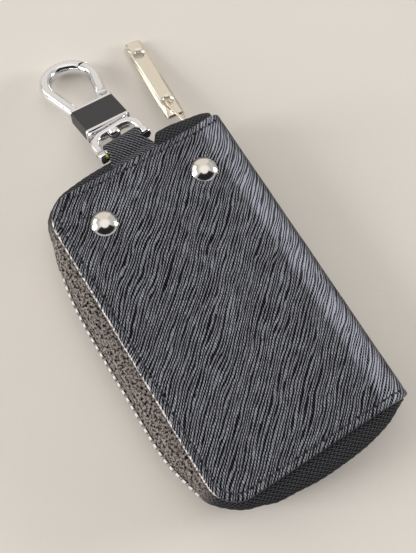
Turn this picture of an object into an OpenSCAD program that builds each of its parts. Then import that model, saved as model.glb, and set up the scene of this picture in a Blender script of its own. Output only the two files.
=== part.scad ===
/* [Case] */
// Length of the leather body along its fold
body_l = 110; // [95:1:140]
// Width of the leather body from the open edge to the fold
body_w = 69; // [62:1:90]
// Thickness of the closed body
body_t = 20; // [19:0.5:26]
// Radius of the two corners at the open edge
corner_r = 10; // [8:0.5:14]
// Outside radius of the folded spine
spine_r = 8; // [7:0.5:9]
// Thickness of the leather
leather_t = 1.8; // [1.4:0.1:2.2]
// Thickness of the stiffening boards
board_t = 0.5; // [0.4:0.1:0.6]
// Thickness of the lining
lining_t = 0.6; // [0.4:0.1:0.8]
// How far the leather stands out at the top of the fold
flare_top = 2; // [0:0.5:3.5]
// How far the leather stands out at the foot of the fold
flare_foot = 0.5; // [0:0.5:3]

/* [Zip] */
// How far the tape bulges out past the leather at its widest
zip_bulge = 6.6; // [5:0.2:8]
// Thickness of the tape
tape_t = 0.5; // [0.4:0.05:0.6]
// Width of tape sewn in under the leather
flange_w = 5; // [4:0.5:6]
// Distance from one tooth to the next on the same tape
tooth_pitch = 2.7; // [2.6:0.05:3]
// Thickness of the teeth across the tape
tooth_t = 1.8; // [1.6:0.1:2]
// Width of a tooth head along the zip
tooth_w = 1.1; // [1:0.05:1.15]
// How far a tooth reaches past the middle of the zip
tooth_reach = 0.95; // [0.8:0.05:1.05]
// Height of a tooth from the middle of the zip to its back
tooth_h = 2.9; // [2.6:0.1:3.1]
// Length of the slider
slider_l = 10.5; // [9.5:0.5:11]
// Distance from the fold to the middle of the slider
slider_inset = 9.5; // [9.5:0.5:12]
// Thickness of the slider plates
slider_plate_t = 0.9; // [0.8:0.1:1.1]
// Travel of the slider that the model allows
slider_travel = 10; // [6:1:12]

/* [Zip pull] */
// Diameter of the wire of the link
link_wire_d = 1.1; // [0.9:0.1:1.2]
// Outside width of the link
link_w = 5.8; // [5.6:0.1:6.4]
// Distance from the slider bow to the end of the link
link_reach = 11.6; // [10.5:0.1:13]
// Length of the bar
bar_l = 38.5; // [30:0.5:40]
// Width of the bar
bar_w = 7.2; // [6.5:0.1:9]
// Thickness of the bar
bar_t = 1.7; // [1.4:0.1:1.9]
// Diameter of the two holes in the bar
bar_hole_d = 3.4; // [3.3:0.1:3.6]
// Distance from the near end of the bar to its link hole
bar_near_inset = 7; // [5:0.5:8]
// Distance from the far end of the bar to its other hole
bar_far_inset = 6.5; // [4:0.5:8]
// Slope of the pull from the slider down to the table
pull_slope = 11.8; // [8:0.1:12]
// Turn of the bar towards the fold
bar_yaw = 5.5; // [0:0.1:6]
// Turn between the link and the bar
link_turn = 11; // [0:1:15]

/* [Rivets and key rail] */
// Distance between the two rivets
rivet_span = 37.4; // [32:0.1:42]
// Distance from the top edge to the rivets
rivet_inset = 15; // [14:0.1:18]
// Offset of the rivet pair from the middle of the body
rivet_shift = -1; // [-3:0.5:3]
// Diameter of the rivet caps
cap_d = 9; // [8:0.1:10]
// Height of the rivet caps
cap_h = 2.2; // [1.4:0.1:2.6]
// Diameter of the rivet posts
post_d = 3; // [2.5:0.1:3.5]
// Diameter of the inner rivet caps
inner_cap_d = 6.4; // [5.5:0.1:7]
// Length of the key rail
rail_l = 53; // [51:1:58]
// Width of the flat of the key rail
rail_w = 8.6; // [8:0.1:10]
// Thickness of the key rail
rail_t = 0.8; // [0.6:0.1:1]
// Number of key hooks
key_hooks = 6; // [6]
// Distance between key hooks
key_pitch = 8; // [7.5:0.1:8.4]
// Diameter of the rod in the key rail
rod_d = 1.6; // [1.4:0.1:1.8]
// Diameter of the wire of a key hook
key_wire_d = 1.5; // [1.2:0.1:1.6]
// Length of a key hook below the rod
key_hook_l = 18.2; // [15:0.2:20]
// Outside width of a key hook
key_hook_w = 6.5; // [5.5:0.1:6.8]

/* [Strap and shackle] */
// Offset of the strap from the middle of the body
strap_shift = 0.1; // [-3:0.1:3]
// Width of the strap at the leather
strap_root_w = 17.4; // [16:0.1:19]
// Width of the strap at its loop
strap_w = 13.2; // [12:0.1:14.5]
// Thickness of the strap leather
strap_t = 1.4; // [1.2:0.1:1.6]
// Distance from the top edge out to the cross pin
pin_out = 7.9; // [7.6:0.1:9]
// Depth of the cross pin below the front face
pin_drop = 3.8; // [3.6:0.1:4.2]
// Diameter of the cross pin
pin_d = 2.6; // [2.2:0.1:2.8]
// Outside width of the shackle
shackle_w = 19.6; // [19:0.1:21]
// Length of the shackle from the pin to its crown
shackle_l = 8.8; // [8.6:0.1:10]
// Height of the shackle ears
ear_d = 4.6; // [4:0.1:5]
// Turn of the hook towards the open edge
hook_yaw = 4; // [0:0.5:6]
// Slope of the hook down to the table
hook_slope = 16.5; // [14:0.1:17]
// Roll of the hook about its own length
hook_roll = 6; // [0:0.5:8]

/* [Snap hook] */
// Width of the hook body
block_w = 16.8; // [16:0.1:18]
// Thickness of the hook body
block_t = 5.5; // [5:0.1:6]
// Length of the black grip sleeve
sleeve_l = 10.2; // [9:0.1:12]
// Thickness of the metal rims each side of the sleeve
rim_l = 1.1; // [0.9:0.1:1.4]
// Radius of the middle line of the ring
ring_r = 9; // [8.5:0.1:9.5]
// Distance from the pin to the middle of the ring
ring_v = 35.9; // [34.5:0.1:38]
// Depth of the ring metal at the sides
limb_d = 4.4; // [3.8:0.1:4.4]
// Depth of the ring metal at the far end
nose_d = 4.2; // [3.8:0.1:4.6]
// Thickness of the ring metal
ring_t = 5; // [4.4:0.1:5.2]
// Distance between the ring limbs where they leave the body
limb_span = 12; // [11.8:0.1:12.4]
// Diameter of the swivel post
swivel_d = 2.6; // [2.2:0.1:3]
// Diameter of the swivel post head
swivel_head_d = 4.8; // [4.4:0.1:5.2]

/* [Hidden] */
$fn = 48;
overrun = 1;
run_gap = 0.05;
face_gap = 0.15;
half_gap = 0.2;
lining_gap = 0.2;
lining_edge = 1;
mid_z = body_t / 2;
mid_l = body_l / 2;
mid_w = body_w / 2;
fold_x = mid_w - spine_r;
flare_w = 14;
flare_steps = 6;
layer_2 = leather_t;
layer_3 = leather_t + max(board_t, tape_t) + lining_gap;
inner_z = layer_3 + lining_t;

// Route of the zip, measured along the leather edge from the top of the fold
zip_end_inset = 2.6;
zip_x = mid_w - zip_end_inset;
corner_x = -mid_w + corner_r;
corner_y = mid_l - corner_r;
run_l = zip_x - corner_x;
arc_l = PI * corner_r / 2;
side_l = 2 * corner_y;
route_l = 2 * run_l + 2 * arc_l + side_l;
corner_1 = run_l;
corner_2 = run_l + arc_l + side_l;
top_bulge_shares = [[0, 0.455], [0.2, 0.455], [0.38, 0.455], [0.42, 0.46], [0.6, 0.64],
    [0.72, 0.62], [0.85, 0.55], [0.965, 0.4]];
side_bulge_shares = [[0, 0.16], [0.08, 0.46], [0.19, 0.78], [0.3, 0.91], [0.44, 0.94],
    [0.6, 0.93], [0.78, 0.93], [0.86, 0.87], [0.91, 0.75], [0.97, 0.54]];
foot_bulge_shares = [[0, 0.34], [0.1, 0.65], [0.22, 0.77], [0.36, 0.9], [0.52, 0.9],
    [0.65, 0.84], [0.74, 0.73], [0.83, 0.56], [0.91, 0.38], [1, 0.12]];
corner_1_bulge_share = 0.13;
corner_2_bulge_share = 0.14;
belly_shares = [[0, 0.18], [0.09, 0.3], [0.18, 0.4], [0.27, 0.5], [0.34, 0.48], [0.4, 0.12],
    [0.44, 0]];
bulge_stations = concat(
    [for (s = top_bulge_shares) [s[0] * run_l, s[1]]],
    [[corner_1 + arc_l / 2, corner_1_bulge_share]],
    [for (s = side_bulge_shares) [corner_1 + arc_l + s[0] * side_l, s[1]]],
    [[corner_2 + arc_l / 2, corner_2_bulge_share]],
    [for (s = foot_bulge_shares) [corner_2 + arc_l + s[0] * run_l, s[1]]]);
belly_stations = [for (s = belly_shares) [s[0] * run_l, s[1]]];
curve_steps = 5;
last_station = len(bulge_stations) - 1;

// Smooth curve through the stations, its slope at each taken from the two beside it
function slope_at(i) =
    let (a = bulge_stations[max(0, i - 1)], b = bulge_stations[min(last_station, i + 1)])
    (b[1] - a[1]) / (b[0] - a[0]);
bulge_curve = concat([for (i = [0:last_station - 1], j = [0:curve_steps - 1])
    let (a = bulge_stations[i], b = bulge_stations[i + 1], t = j / curve_steps, w = b[0] - a[0],
        u = 1 - t)
    [a[0] + w * t, a[1] * u * u * (1 + 2 * t) + b[1] * t * t * (3 - 2 * t)
        + slope_at(i) * w * t * u * u - slope_at(i + 1) * w * t * t * u]],
    [bulge_stations[last_station]]);
function bulge_at(u) = zip_bulge * lookup(u, bulge_curve);
function belly_at(u) = zip_bulge * lookup(u, belly_stations);

function corner_point(x, y, a) = [x + corner_r * cos(a), y + corner_r * sin(a), cos(a), sin(a)];
function edge_at(u) =
    u < corner_1 ? [zip_x - u, mid_l, 0, 1] :
    u < corner_1 + arc_l ? corner_point(corner_x, corner_y, 90 + 90 * (u - corner_1) / arc_l) :
    u < corner_2 ? [-mid_w, corner_y - (u - corner_1 - arc_l), -1, 0] :
    u < corner_2 + arc_l ? corner_point(corner_x, -corner_y, 180 + 90 * (u - corner_2) / arc_l) :
    [corner_x + (u - corner_2 - arc_l), -mid_l, 0, -1];
function zip_at(u) = let (e = edge_at(u), b = bulge_at(u)) [e[0] + e[2] * b, e[1] + e[3] * b];

route_steps = 240;
route_u = [for (i = [0:route_steps]) i * route_l / route_steps];
route_points = [for (u = route_u) zip_at(u)];
route_s = [for (i = 0, s = 0; i <= route_steps; s = s + (i < route_steps ?
    norm(route_points[i + 1] - route_points[i]) : 0), i = i + 1) s];
u_of_s = [for (i = [0:route_steps]) [route_s[i], route_u[i]]];
s_of_u = [for (i = [0:route_steps]) [route_u[i], route_s[i]]];
zip_l = route_s[route_steps];
function point_of(s) = zip_at(lookup(s, u_of_s));
function angle_of(s) = let (d = point_of(s + tooth_pitch / 4) - point_of(s - tooth_pitch / 4))
    atan2(d[1], d[0]);

// Slider, teeth and tape edge
slider_x = mid_w - slider_inset;
slider_u = zip_x - slider_x;
slider_s = lookup(slider_u, s_of_u);
slider_y = mid_l + bulge_at(slider_u);
front_clear = 1.4;
slot_clear = 0.1;
stop_w = 1;
stop_h = 2.4;
flange_r = spine_r - leather_t - tape_t / 2;
tape_steps = 3;
tape_stations = floor(zip_l / tooth_pitch);
end_stations = 5;
tape_edge_share = 1.4;
shoulder_share = 1.2;
upright_share = 1.6;
tape_edge = tape_edge_share * tooth_reach;
shoulder_z = shoulder_share * tooth_reach;
leg_w = 1.5;
upright_z = mid_z - upright_share * tooth_h;
tooth_bevel = 0.25;
closed_s = slider_s + slider_l / 2;
top_stop_s = slider_s - slider_l / 2 - stop_w / 2 - face_gap;
split_s = closed_s + slider_travel + tooth_pitch;
end_margin = 2.4;
fold_reach = 17;
foot_s = lookup(route_l - fold_reach, s_of_u);
tooth_count = floor((zip_l - end_margin) / tooth_pitch);
back_teeth = [for (i = [1:tooth_count]) i * tooth_pitch];
front_teeth = [for (s = back_teeth) s + tooth_pitch / 2];

// Rivets, rail and key hooks
rivet_y = mid_l - rivet_inset;
rivets = [for (side = [-1, 1]) [rivet_shift + side * rivet_span / 2, rivet_y]];
post_hole_d = post_d + 2 * run_gap;
rail_z = body_t - inner_z;
inner_cap_t = 1.1;
rod_bore_d = rod_d + 2 * run_gap;
barrel_d = 3;
eye_d = 2.8;
eye_w = 2.4;
eye_clear = 0.3;
rod_y = rivet_y - rail_w / 2 - eye_d / 2 - eye_clear;
rod_z = rail_z - barrel_d / 2;
key_bend_r = (key_hook_w - key_wire_d) / 2;
key_tip_r = key_hook_l - key_wire_d / 2;
key_neck = 0.75;
key_gap = 0.5;
key_slit_angle = 30;
key_lift = 0.1;
key_droop = asin((rod_z - inner_z - key_lift - key_wire_d / 2) / key_tip_r);

// Slider, bow, link and bar
slider_tail_h = tooth_h + 0.9;
slider_mouth_h = tooth_h + 1.7;
slider_slot = 1;
slider_rim = 0.75;
wedge_back = slider_l / 6;
wedge_front = slider_l / 3;
slider_gap = tooth_t + 2 * face_gap;
bow_d = 1.4;
bow_clear = 0.1;
bow_half = 3.4;
bow_bend_r = 1.4;
plate_y = slider_y + slider_gap / 2 + slider_plate_t;
bow_reach = bow_d / 2 + link_wire_d / 2 + bow_clear;
bow_y = plate_y + bow_reach + link_wire_d / 2 + bow_clear;
link_r = (link_w - link_wire_d) / 2;
link_tilt = 42;
bar_bevel_w = 1.4;
bar_bevel_h = 1;
bar_end_r = 0.8;
bar_sink_w = 0.8;
bar_sink_h = 0.6;

// Strap, pin and shackle
tail_t = 1;
tail_l = 5;
root_lead = strap_root_w / 2 * sin(hook_yaw) + face_gap;
pin_y = mid_l + pin_out;
pin_z = body_t - pin_drop;
pin_bore_d = pin_d + 2 * run_gap;
loop_d = pin_bore_d + 2 * strap_t;
pinch_out = 3.8;
pinch_drop = 1.3;
roll_out = 5.2;
roll_rise = 0.55;
crease_out = 2.5;
crease_rise = 0.2;
under_drop = 0.38;
neck_out = 3;
loop_top_share = 0.99;
loop_leave_angle = 56;
shackle_inner_w = strap_w + 0.4;
shackle_corner_r = 6.8;
crown_t = 2.6;
crown_h = 3.8;
lock_u = -(shackle_w + shackle_inner_w) / 4;
lock_d = 2.2;
lock_l = 0.85;
slot_w = 0.35;
slot_h = 0.35;
head_t = 1.4;
head_dome = 1.3;

// Snap hook
block_v = shackle_l + face_gap;
block_r = 0.8;
core_w = block_w - 2;
core_t = block_t - 1.6;
sleeve_v = block_v + rim_l;
rim_2_v = sleeve_v + sleeve_l;
block_end = rim_2_v + rim_l;
post_depth = 5;
taper = asin((ring_r - limb_span / 2) / (ring_v - block_end));
limb_swell = 3;
limb_steps = 3;
arc_steps = 14;
ring_sides = 12;
ring_round = 0.5;
cut_angle = 33;
cut_gap = 0.7;
cut_v = ring_v + (ring_r - limb_d / 4) * sin(cut_angle);
pivot_u = limb_span / 2;
lug_d = 3.9;
knuckle_d = 3.5;
pivot_v = block_end + knuckle_d / 2 + face_gap;
lug_t = 0.95;
knuckle_t = 2.3;
lug_gap = 0.1;
gate_pin_d = 1.2;
gate_bore_d = gate_pin_d + 2 * run_gap;
gate_root_share = 0.46;
spring_t = 0.3;
spring_w = 1.6;
spring_l = 2.2;
spring_lean = 10;
spring_v = block_end + spring_t * sin(spring_lean);

module back_layer_2d(inset, t) {
    difference() {
        back_outline_2d(inset);
        back_outline_2d(inset + t);
    }
}

module back_outline_2d(inset) {
    translate([-body_w, inset]) square([body_w + fold_x, mid_z - inset]);
    translate([fold_x, spine_r]) circle(spine_r - inset);
    translate([fold_x, spine_r]) square([spine_r - inset, mid_z - spine_r]);
}

module back_layer(inset, t) {
    translate([0, body_l, 0])
        rotate([90, 0, 0])
            linear_extrude(2 * body_l)
                intersection() {
                    back_layer_2d(inset, t);
                    translate([-body_w, 0]) square([2 * body_w, mid_z - half_gap / 2]);
                }
}

module to_front() {
    translate([0, 0, body_t]) mirror([0, 0, 1]) children();
}

module plan_2d(inset) {
    translate([corner_x, inset - mid_l]) square([body_w, body_l - 2 * inset]);
    translate([inset - mid_w, -corner_y]) square([body_w, 2 * corner_y]);
    for (side = [-1, 1])
        translate([corner_x, side * corner_y]) circle(corner_r - inset);
}

module flare_2d(side, flare) {
    polygon(concat([[mid_w - flare_w, 0]],
        [for (i = [0:flare_steps]) let (t = i / flare_steps)
            [mid_w - flare_w + flare_w * t, side * (mid_l + flare * t * t)]],
        [[mid_w, 0]]));
}

module leather_plan() {
    linear_extrude(body_t) {
        plan_2d(0);
        flare_2d(1, flare_top);
        flare_2d(-1, flare_foot);
    }
}

module half_leather() {
    intersection() {
        back_layer(0, leather_t);
        leather_plan();
    }
}

module half_board() {
    translate([0, 0, layer_2])
        linear_extrude(board_t)
            intersection() {
                plan_2d(flange_w + face_gap);
                translate([-body_w, -body_l]) square([body_w + fold_x, 2 * body_l]);
            }
}

module half_lining() {
    intersection() {
        back_layer(layer_3, lining_t);
        linear_extrude(body_t) plan_2d(lining_edge);
    }
}

module rivet_holes() {
    for (p = rivets)
        translate([p[0], p[1], mid_z]) cylinder(d = post_hole_d, h = body_t);
}

// Cross-section of the back half of the tape at one station of the zip
function flange_z(x) = leather_t + tape_t / 2 + (x > fold_x ?
    flange_r - sqrt(flange_r * flange_r - (x - fold_x) * (x - fold_x)) : 0);
function tape_line(e, b, belly) =
    let (z0 = flange_z(e[0]), z1 = max(upright_z, z0))
    concat([[-flange_w, z0, 0]],
        [for (k = [0:tape_steps]) let (a = 90 * k / tape_steps)
            [b * sin(a) + belly * sin(2 * a), z0 + (z1 - z0) * (1 - cos(a)), a]],
        [[b, mid_z - tape_edge, 90]]);
function tape_ring(s) =
    let (u = lookup(s, u_of_s), e = edge_at(u), line = tape_line(e, bulge_at(u), belly_at(u)),
        outer = [for (c = line) [c[0] + sin(c[2]) * tape_t / 2, c[1] - cos(c[2]) * tape_t / 2]],
        inner = [for (c = line) [c[0] - sin(c[2]) * tape_t / 2, c[1] + cos(c[2]) * tape_t / 2]],
        loop = concat(outer, [for (i = [len(inner) - 1:-1:0]) inner[i]]))
    [for (p = loop) [e[0] + e[2] * p[0], e[1] + e[3] * p[0], p[1]]];

module half_tape() {
    step = zip_l / tape_stations;
    ends = [for (k = [1:end_stations - 1]) k / end_stations];
    places = concat([0], [for (k = ends) k], [for (i = [1:tape_stations - 1]) i],
        [for (k = ends) tape_stations - 1 + k], [tape_stations]);
    tube([for (i = places) tape_ring(i * step)]);
}

// Solid through a list of rings that all have the same number of points
module tube(rings) {
    n = len(rings[0]);
    last = len(rings) - 1;
    points = [for (ring = rings, p = ring) p];
    sides = [for (i = [0:last - 1], j = [0:n - 1])
        let (a = i * n + j, b = i * n + (j + 1) % n, c = a + n, d = b + n)
        each [[a, b, c], [b, d, c]]];
    foot = [for (j = [1:n - 2]) [0, j + 1, j]];
    head = [for (j = [1:n - 2]) [last * n, last * n + j, last * n + j + 1]];
    polyhedron(points, concat(sides, foot, head));
}

// One tooth of the front tape, its head across the middle of the zip
module tooth() {
    difference() {
        rotate([90, 0, 0])
            linear_extrude(tooth_t, center = true)
                polygon([
                    [-tooth_w / 2 + tooth_bevel, -tooth_reach],
                    [tooth_w / 2 - tooth_bevel, -tooth_reach],
                    [tooth_w / 2, -tooth_reach + tooth_bevel],
                    [tooth_w / 2, shoulder_z],
                    [leg_w / 2, shoulder_z + tooth_bevel],
                    [leg_w / 2, tooth_h - tooth_bevel],
                    [leg_w / 2 - tooth_bevel, tooth_h],
                    [-leg_w / 2 + tooth_bevel, tooth_h],
                    [-leg_w / 2, tooth_h - tooth_bevel],
                    [-leg_w / 2, shoulder_z + tooth_bevel],
                    [-tooth_w / 2, shoulder_z],
                    [-tooth_w / 2, -tooth_reach + tooth_bevel]]);
        translate([-leg_w, -tape_t / 2 - slot_clear, tape_edge - slot_clear])
            cube([2 * leg_w, tape_t + 2 * slot_clear, tooth_h]);
    }
}

module teeth(places, side) {
    for (s = places) {
        p = point_of(s);
        translate([p[0], p[1], mid_z])
            rotate([0, 0, angle_of(s)])
                mirror([0, 0, side > 0 ? 0 : 1])
                    tooth();
    }
}

// Clamp at the end of a tape
module stop_clamp(s, low, high) {
    p = point_of(s);
    translate([p[0], p[1], mid_z])
        rotate([0, 0, angle_of(s)])
            difference() {
                translate([-stop_w / 2, -tooth_t / 2, low]) cube([stop_w, tooth_t, high - low]);
                translate([-stop_w, -tape_t / 2 - slot_clear, tape_edge - slot_clear])
                    cube([2 * stop_w, tape_t + 2 * slot_clear, tooth_h]);
                translate([-stop_w, -tape_t / 2 - slot_clear, slot_clear - tape_edge - tooth_h])
                    cube([2 * stop_w, tape_t + 2 * slot_clear, tooth_h]);
            }
}

module back_leather() {
    color("#26262b") half_leather();
}

module front_leather() {
    color("#26262b")
        difference() {
            to_front() half_leather();
            rivet_holes();
            strap_place() strap_tail(face_gap, overrun);
        }
}

module back_board() {
    color("#8a7a60") half_board();
}

module front_board() {
    color("#8a7a60")
        difference() {
            to_front() half_board();
            rivet_holes();
        }
}

module back_lining() {
    color("#1d1d20") half_lining();
}

module front_lining() {
    color("#1d1d20")
        difference() {
            to_front() half_lining();
            rivet_holes();
        }
}

module back_tape() {
    color("#222226") half_tape();
}

module front_tape() {
    color("#222226") to_front() half_tape();
}

module back_teeth_top() {
    color("#c9c9c6")
        teeth([for (s = back_teeth) if (s > closed_s + tooth_w && s < split_s) s], -1);
}

module front_teeth_top() {
    color("#c9c9c6")
        teeth([for (s = front_teeth) if (s > closed_s + front_clear + leg_w && s < split_s) s], 1);
}

module back_teeth_round() {
    color("#c9c9c6") teeth([for (s = back_teeth) if (s >= split_s) s], -1);
}

module front_teeth_round() {
    color("#c9c9c6") teeth([for (s = front_teeth) if (s >= split_s && s < foot_s) s], 1);
}

module front_teeth_foot() {
    color("#c9c9c6")
        teeth([for (s = front_teeth) if (s >= foot_s && s < zip_l - end_margin) s], 1);
}

module back_top_stop() {
    color("#c9c9c6") stop_clamp(top_stop_s, -stop_h - half_gap, -half_gap);
}

module front_top_stop() {
    color("#c9c9c6") stop_clamp(top_stop_s, half_gap, stop_h + half_gap);
}

module bottom_stop() {
    color("#c9c9c6") stop_clamp(zip_l - stop_w, -stop_h - half_gap, -half_gap);
}

// Outline of a slider plate, wide at the mouth towards the fold
module slider_2d(inset) {
    tail_h = slider_tail_h - inset;
    mouth_h = slider_mouth_h - inset;
    end_x = slider_l / 2;
    shoulder_x = slider_mouth_h / 2;
    nick = slider_mouth_h / 6;
    corner_h = slider_mouth_h / 4;
    polygon([[-end_x + nick, -tail_h], [0, -tail_h], [shoulder_x, -mouth_h],
        [end_x - nick, -mouth_h], [end_x, -mouth_h + corner_h], [end_x - nick, 0],
        [end_x, mouth_h - corner_h], [end_x - nick, mouth_h], [shoulder_x, mouth_h],
        [0, tail_h], [-end_x + nick, tail_h], [-end_x, tail_h - nick],
        [-end_x, -tail_h + nick]]);
}

module slider() {
    color("#d8d2c4")
        translate([slider_x, slider_y, mid_z])
            rotate([90, 0, 0]) {
                difference() {
                    linear_extrude(slider_gap + 2 * slider_plate_t, center = true) slider_2d(0);
                    linear_extrude(slider_gap, center = true)
                        difference() {
                            intersection() {
                                slider_2d(slider_rim);
                                square([slider_l + overrun, body_t], center = true);
                            }
                            slider_wedge_2d();
                        }
                    linear_extrude(slider_gap, center = true)
                        for (side = [-1, 1])
                            translate([side * slider_l / 2, 0])
                                square([slider_l / 2, 2 * tooth_h + face_gap], center = true);
                    for (side = [-1, 1])
                        translate([-slider_l, side > 0 ? tooth_reach : -body_t, -slider_slot / 2])
                            cube([2 * slider_l, body_t - tooth_reach, slider_slot]);
                }
                linear_extrude(slider_gap + slider_plate_t, center = true) slider_wedge_2d();
                slider_bow();
            }
}

// Wedge between the plates that parts the teeth
module slider_wedge_2d() {
    half_h = tooth_reach - slot_clear;
    polygon([[0, 0], [wedge_back, half_h], [wedge_front, half_h], [wedge_front, -half_h],
        [wedge_back, -half_h]]);
}

// Bow over the outer plate that holds the link
module slider_bow() {
    depth = slider_y - bow_y;
    foot = slider_gap / 2 + slider_plate_t / 2;
    translate([0, 0, depth])
        rotate([0, 90, 0])
            cylinder(d = bow_d, h = 2 * (bow_half - bow_bend_r), center = true);
    for (side = [-1, 1]) {
        translate([side * bow_half, 0, depth + bow_bend_r])
            cylinder(d = bow_d, h = -depth - bow_bend_r - foot);
        translate([side * (bow_half - bow_bend_r), 0, depth + bow_bend_r])
            rotate([90, 0, 0])
                rotate([0, 0, side > 0 ? -90 : 180])
                    rotate_extrude(angle = 90)
                        translate([bow_bend_r, 0]) circle(d = bow_d);
    }
}

module pull_place() {
    translate([slider_x, bow_y, mid_z])
        rotate([0, 0, -bar_yaw])
            rotate([-pull_slope, 0, 0])
                children();
}

module pull_link() {
    near = -bow_reach + link_r;
    far = link_reach - link_r;
    color("#cfc8b8")
        pull_place()
            rotate([0, 0, link_turn])
                rotate([0, -90 - link_tilt, 0]) {
                    for (side = [-1, 1])
                        translate([side * link_r, near, 0])
                            rotate([-90, 0, 0])
                                cylinder(d = link_wire_d, h = far - near);
                    translate([0, far, 0])
                        rotate_extrude(angle = 180)
                            translate([link_r, 0]) circle(d = link_wire_d);
                    translate([0, near, 0])
                        rotate([0, 0, 180])
                            rotate_extrude(angle = 180)
                                translate([link_r, 0]) circle(d = link_wire_d);
                }
}

module bar_section_2d() {
    polygon([[-bar_w / 2, -bar_t / 2], [bar_w / 2, -bar_t / 2],
        [bar_w / 2, bar_t / 2 - bar_bevel_h], [bar_w / 2 - bar_bevel_w, bar_t / 2],
        [-bar_w / 2 + bar_bevel_w, bar_t / 2], [-bar_w / 2, bar_t / 2 - bar_bevel_h]]);
}

module pull_bar() {
    color("#d9d0bd")
        pull_place()
            rotate([0, 0, link_turn])
                translate([0, link_reach, 0])
                    rotate([0, 0, -link_turn])
                        difference() {
                            translate([0, bar_l - bar_near_inset, 0])
                                rotate([90, 0, 0])
                                    linear_extrude(bar_l) bar_section_2d();
                            bar_hole();
                            translate([0, bar_l - bar_near_inset - bar_far_inset, 0]) bar_hole();
                            bar_corners();
                        }
}

module bar_hole() {
    cylinder(d = bar_hole_d, h = 2 * bar_t, center = true);
    translate([0, 0, bar_t / 2 - bar_sink_h])
        cylinder(d1 = bar_hole_d, d2 = bar_hole_d + 4 * bar_sink_w, h = 2 * bar_sink_h);
}

module bar_corners() {
    for (side = [-1, 1], end = [0, 1])
        translate([side * bar_w / 2, end * bar_l - bar_near_inset, 0])
            rotate([0, 0, 45])
                cube([bar_end_r * sqrt(2), bar_end_r * sqrt(2), 2 * bar_t], center = true);
}

module rivet_caps() {
    cap_r = cap_d / 2;
    ball_r = (cap_r * cap_r + cap_h * cap_h) / (2 * cap_h);
    color("#dcd8ce")
        for (p = rivets)
            translate([p[0], p[1], body_t]) {
                intersection() {
                    translate([0, 0, cap_h - ball_r]) sphere(ball_r);
                    cylinder(r = cap_r, h = cap_h + overrun);
                }
                translate([0, 0, -inner_z - rail_t - inner_cap_t / 2])
                    cylinder(d = post_d, h = inner_z + rail_t + inner_cap_t);
            }
}

module rivet_inner_caps() {
    color("#dcd8ce")
        for (p = rivets)
            translate([p[0], p[1], rail_z - rail_t - inner_cap_t])
                difference() {
                    cylinder(d = inner_cap_d, h = inner_cap_t);
                    translate([0, 0, inner_cap_t / 2 - run_gap])
                        cylinder(d = post_hole_d, h = inner_cap_t);
                }
}

function key_x(i) = rivet_shift + (i - (key_hooks + 1) / 2) * key_pitch;

module key_rail() {
    color("#c4c4c4")
        difference() {
            union() {
                translate([rivet_shift - rail_l / 2, rivet_y - rail_w / 2, rail_z - rail_t])
                    cube([rail_l, rail_w, rail_t]);
                translate([rivet_shift - rail_l / 2, rod_y, rod_z])
                    rotate([0, 90, 0])
                        cylinder(d = barrel_d, h = rail_l);
                translate([rivet_shift - rail_l / 2, rod_y, rail_z - rail_t])
                    cube([rail_l, rivet_y - rod_y, rail_t]);
            }
            translate([rivet_shift - rail_l, rod_y, rod_z])
                rotate([0, 90, 0])
                    cylinder(d = rod_bore_d, h = 2 * rail_l);
            for (i = [1:key_hooks])
                translate([key_x(i) - eye_w / 2 - face_gap, rod_y - body_t, rod_z - body_t])
                    cube([eye_w + 2 * face_gap, body_t + eye_d / 2 + eye_clear / 2, 2 * body_t]);
            rivet_holes();
        }
}

module key_rod() {
    color("#b8b8b8")
        translate([rivet_shift - rail_l / 2, rod_y, rod_z])
            rotate([0, 90, 0])
                cylinder(d = rod_d, h = rail_l);
}

// Hanging hook, its eye round the rod and its open side near the eye
module key_hook(i) {
    top_y = -eye_d / 2 - key_bend_r - key_neck;
    foot_y = -key_tip_r + key_bend_r;
    color("#cdcdcb")
        translate([key_x(i), rod_y, rod_z])
            rotate([key_droop, 0, 0])
                difference() {
                    union() {
                        rotate([0, 90, 0]) cylinder(d = eye_d, h = eye_w, center = true);
                        translate([-eye_w / 2, top_y + key_bend_r, -key_wire_d / 2])
                            cube([eye_w, -top_y - key_bend_r, key_wire_d]);
                        translate([0, top_y, 0])
                            rotate_extrude(angle = 180)
                                translate([key_bend_r, 0]) circle(d = key_wire_d);
                        translate([0, foot_y, 0])
                            rotate([0, 0, 180])
                                rotate_extrude(angle = 180)
                                    translate([key_bend_r, 0]) circle(d = key_wire_d);
                        for (side = [-1, 1])
                            translate([side * key_bend_r, foot_y, 0])
                                rotate([-90, 0, 0])
                                    cylinder(d = key_wire_d, h = top_y - foot_y);
                    }
                    rotate([0, 90, 0]) cylinder(d = rod_bore_d, h = key_pitch, center = true);
                    translate([0, top_y - key_bend_r, -key_wire_d])
                        rotate([0, 0, key_slit_angle])
                            cube([key_hook_w, key_gap, 2 * key_wire_d]);
                }
}

module strap_place() {
    translate([strap_shift, pin_y, pin_z]) rotate([0, 0, hook_yaw]) children();
}

// Thinned end of the strap that is sewn in under the front leather
module strap_tail(grow, out) {
    translate([-strap_root_w / 2 - grow, -pin_out - tail_l - grow, pin_drop - leather_t - grow])
        cube([strap_root_w + 2 * grow, tail_l + out + grow, tail_t + grow]);
}

module strap_side_2d() {
    tail_z = pin_drop - leather_t;
    loop_r = loop_d / 2;
    difference() {
        union() {
            circle(loop_r);
            polygon([[-pin_out - tail_l, tail_z], [-pin_out + root_lead, tail_z],
                [-pin_out + crease_out, tail_z - under_drop],
                [-pin_out + pinch_out, tail_z - pinch_drop],
                [-loop_r * sin(loop_leave_angle), -loop_r * cos(loop_leave_angle)],
                [0, 0], [0, loop_r * loop_top_share], [-pin_out + roll_out, tail_z + roll_rise],
                [-pin_out + crease_out, tail_z + crease_rise], [-pin_out, tail_z + tail_t],
                [-pin_out - tail_l, tail_z + tail_t]]);
        }
        circle(d = pin_bore_d);
    }
}

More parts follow.
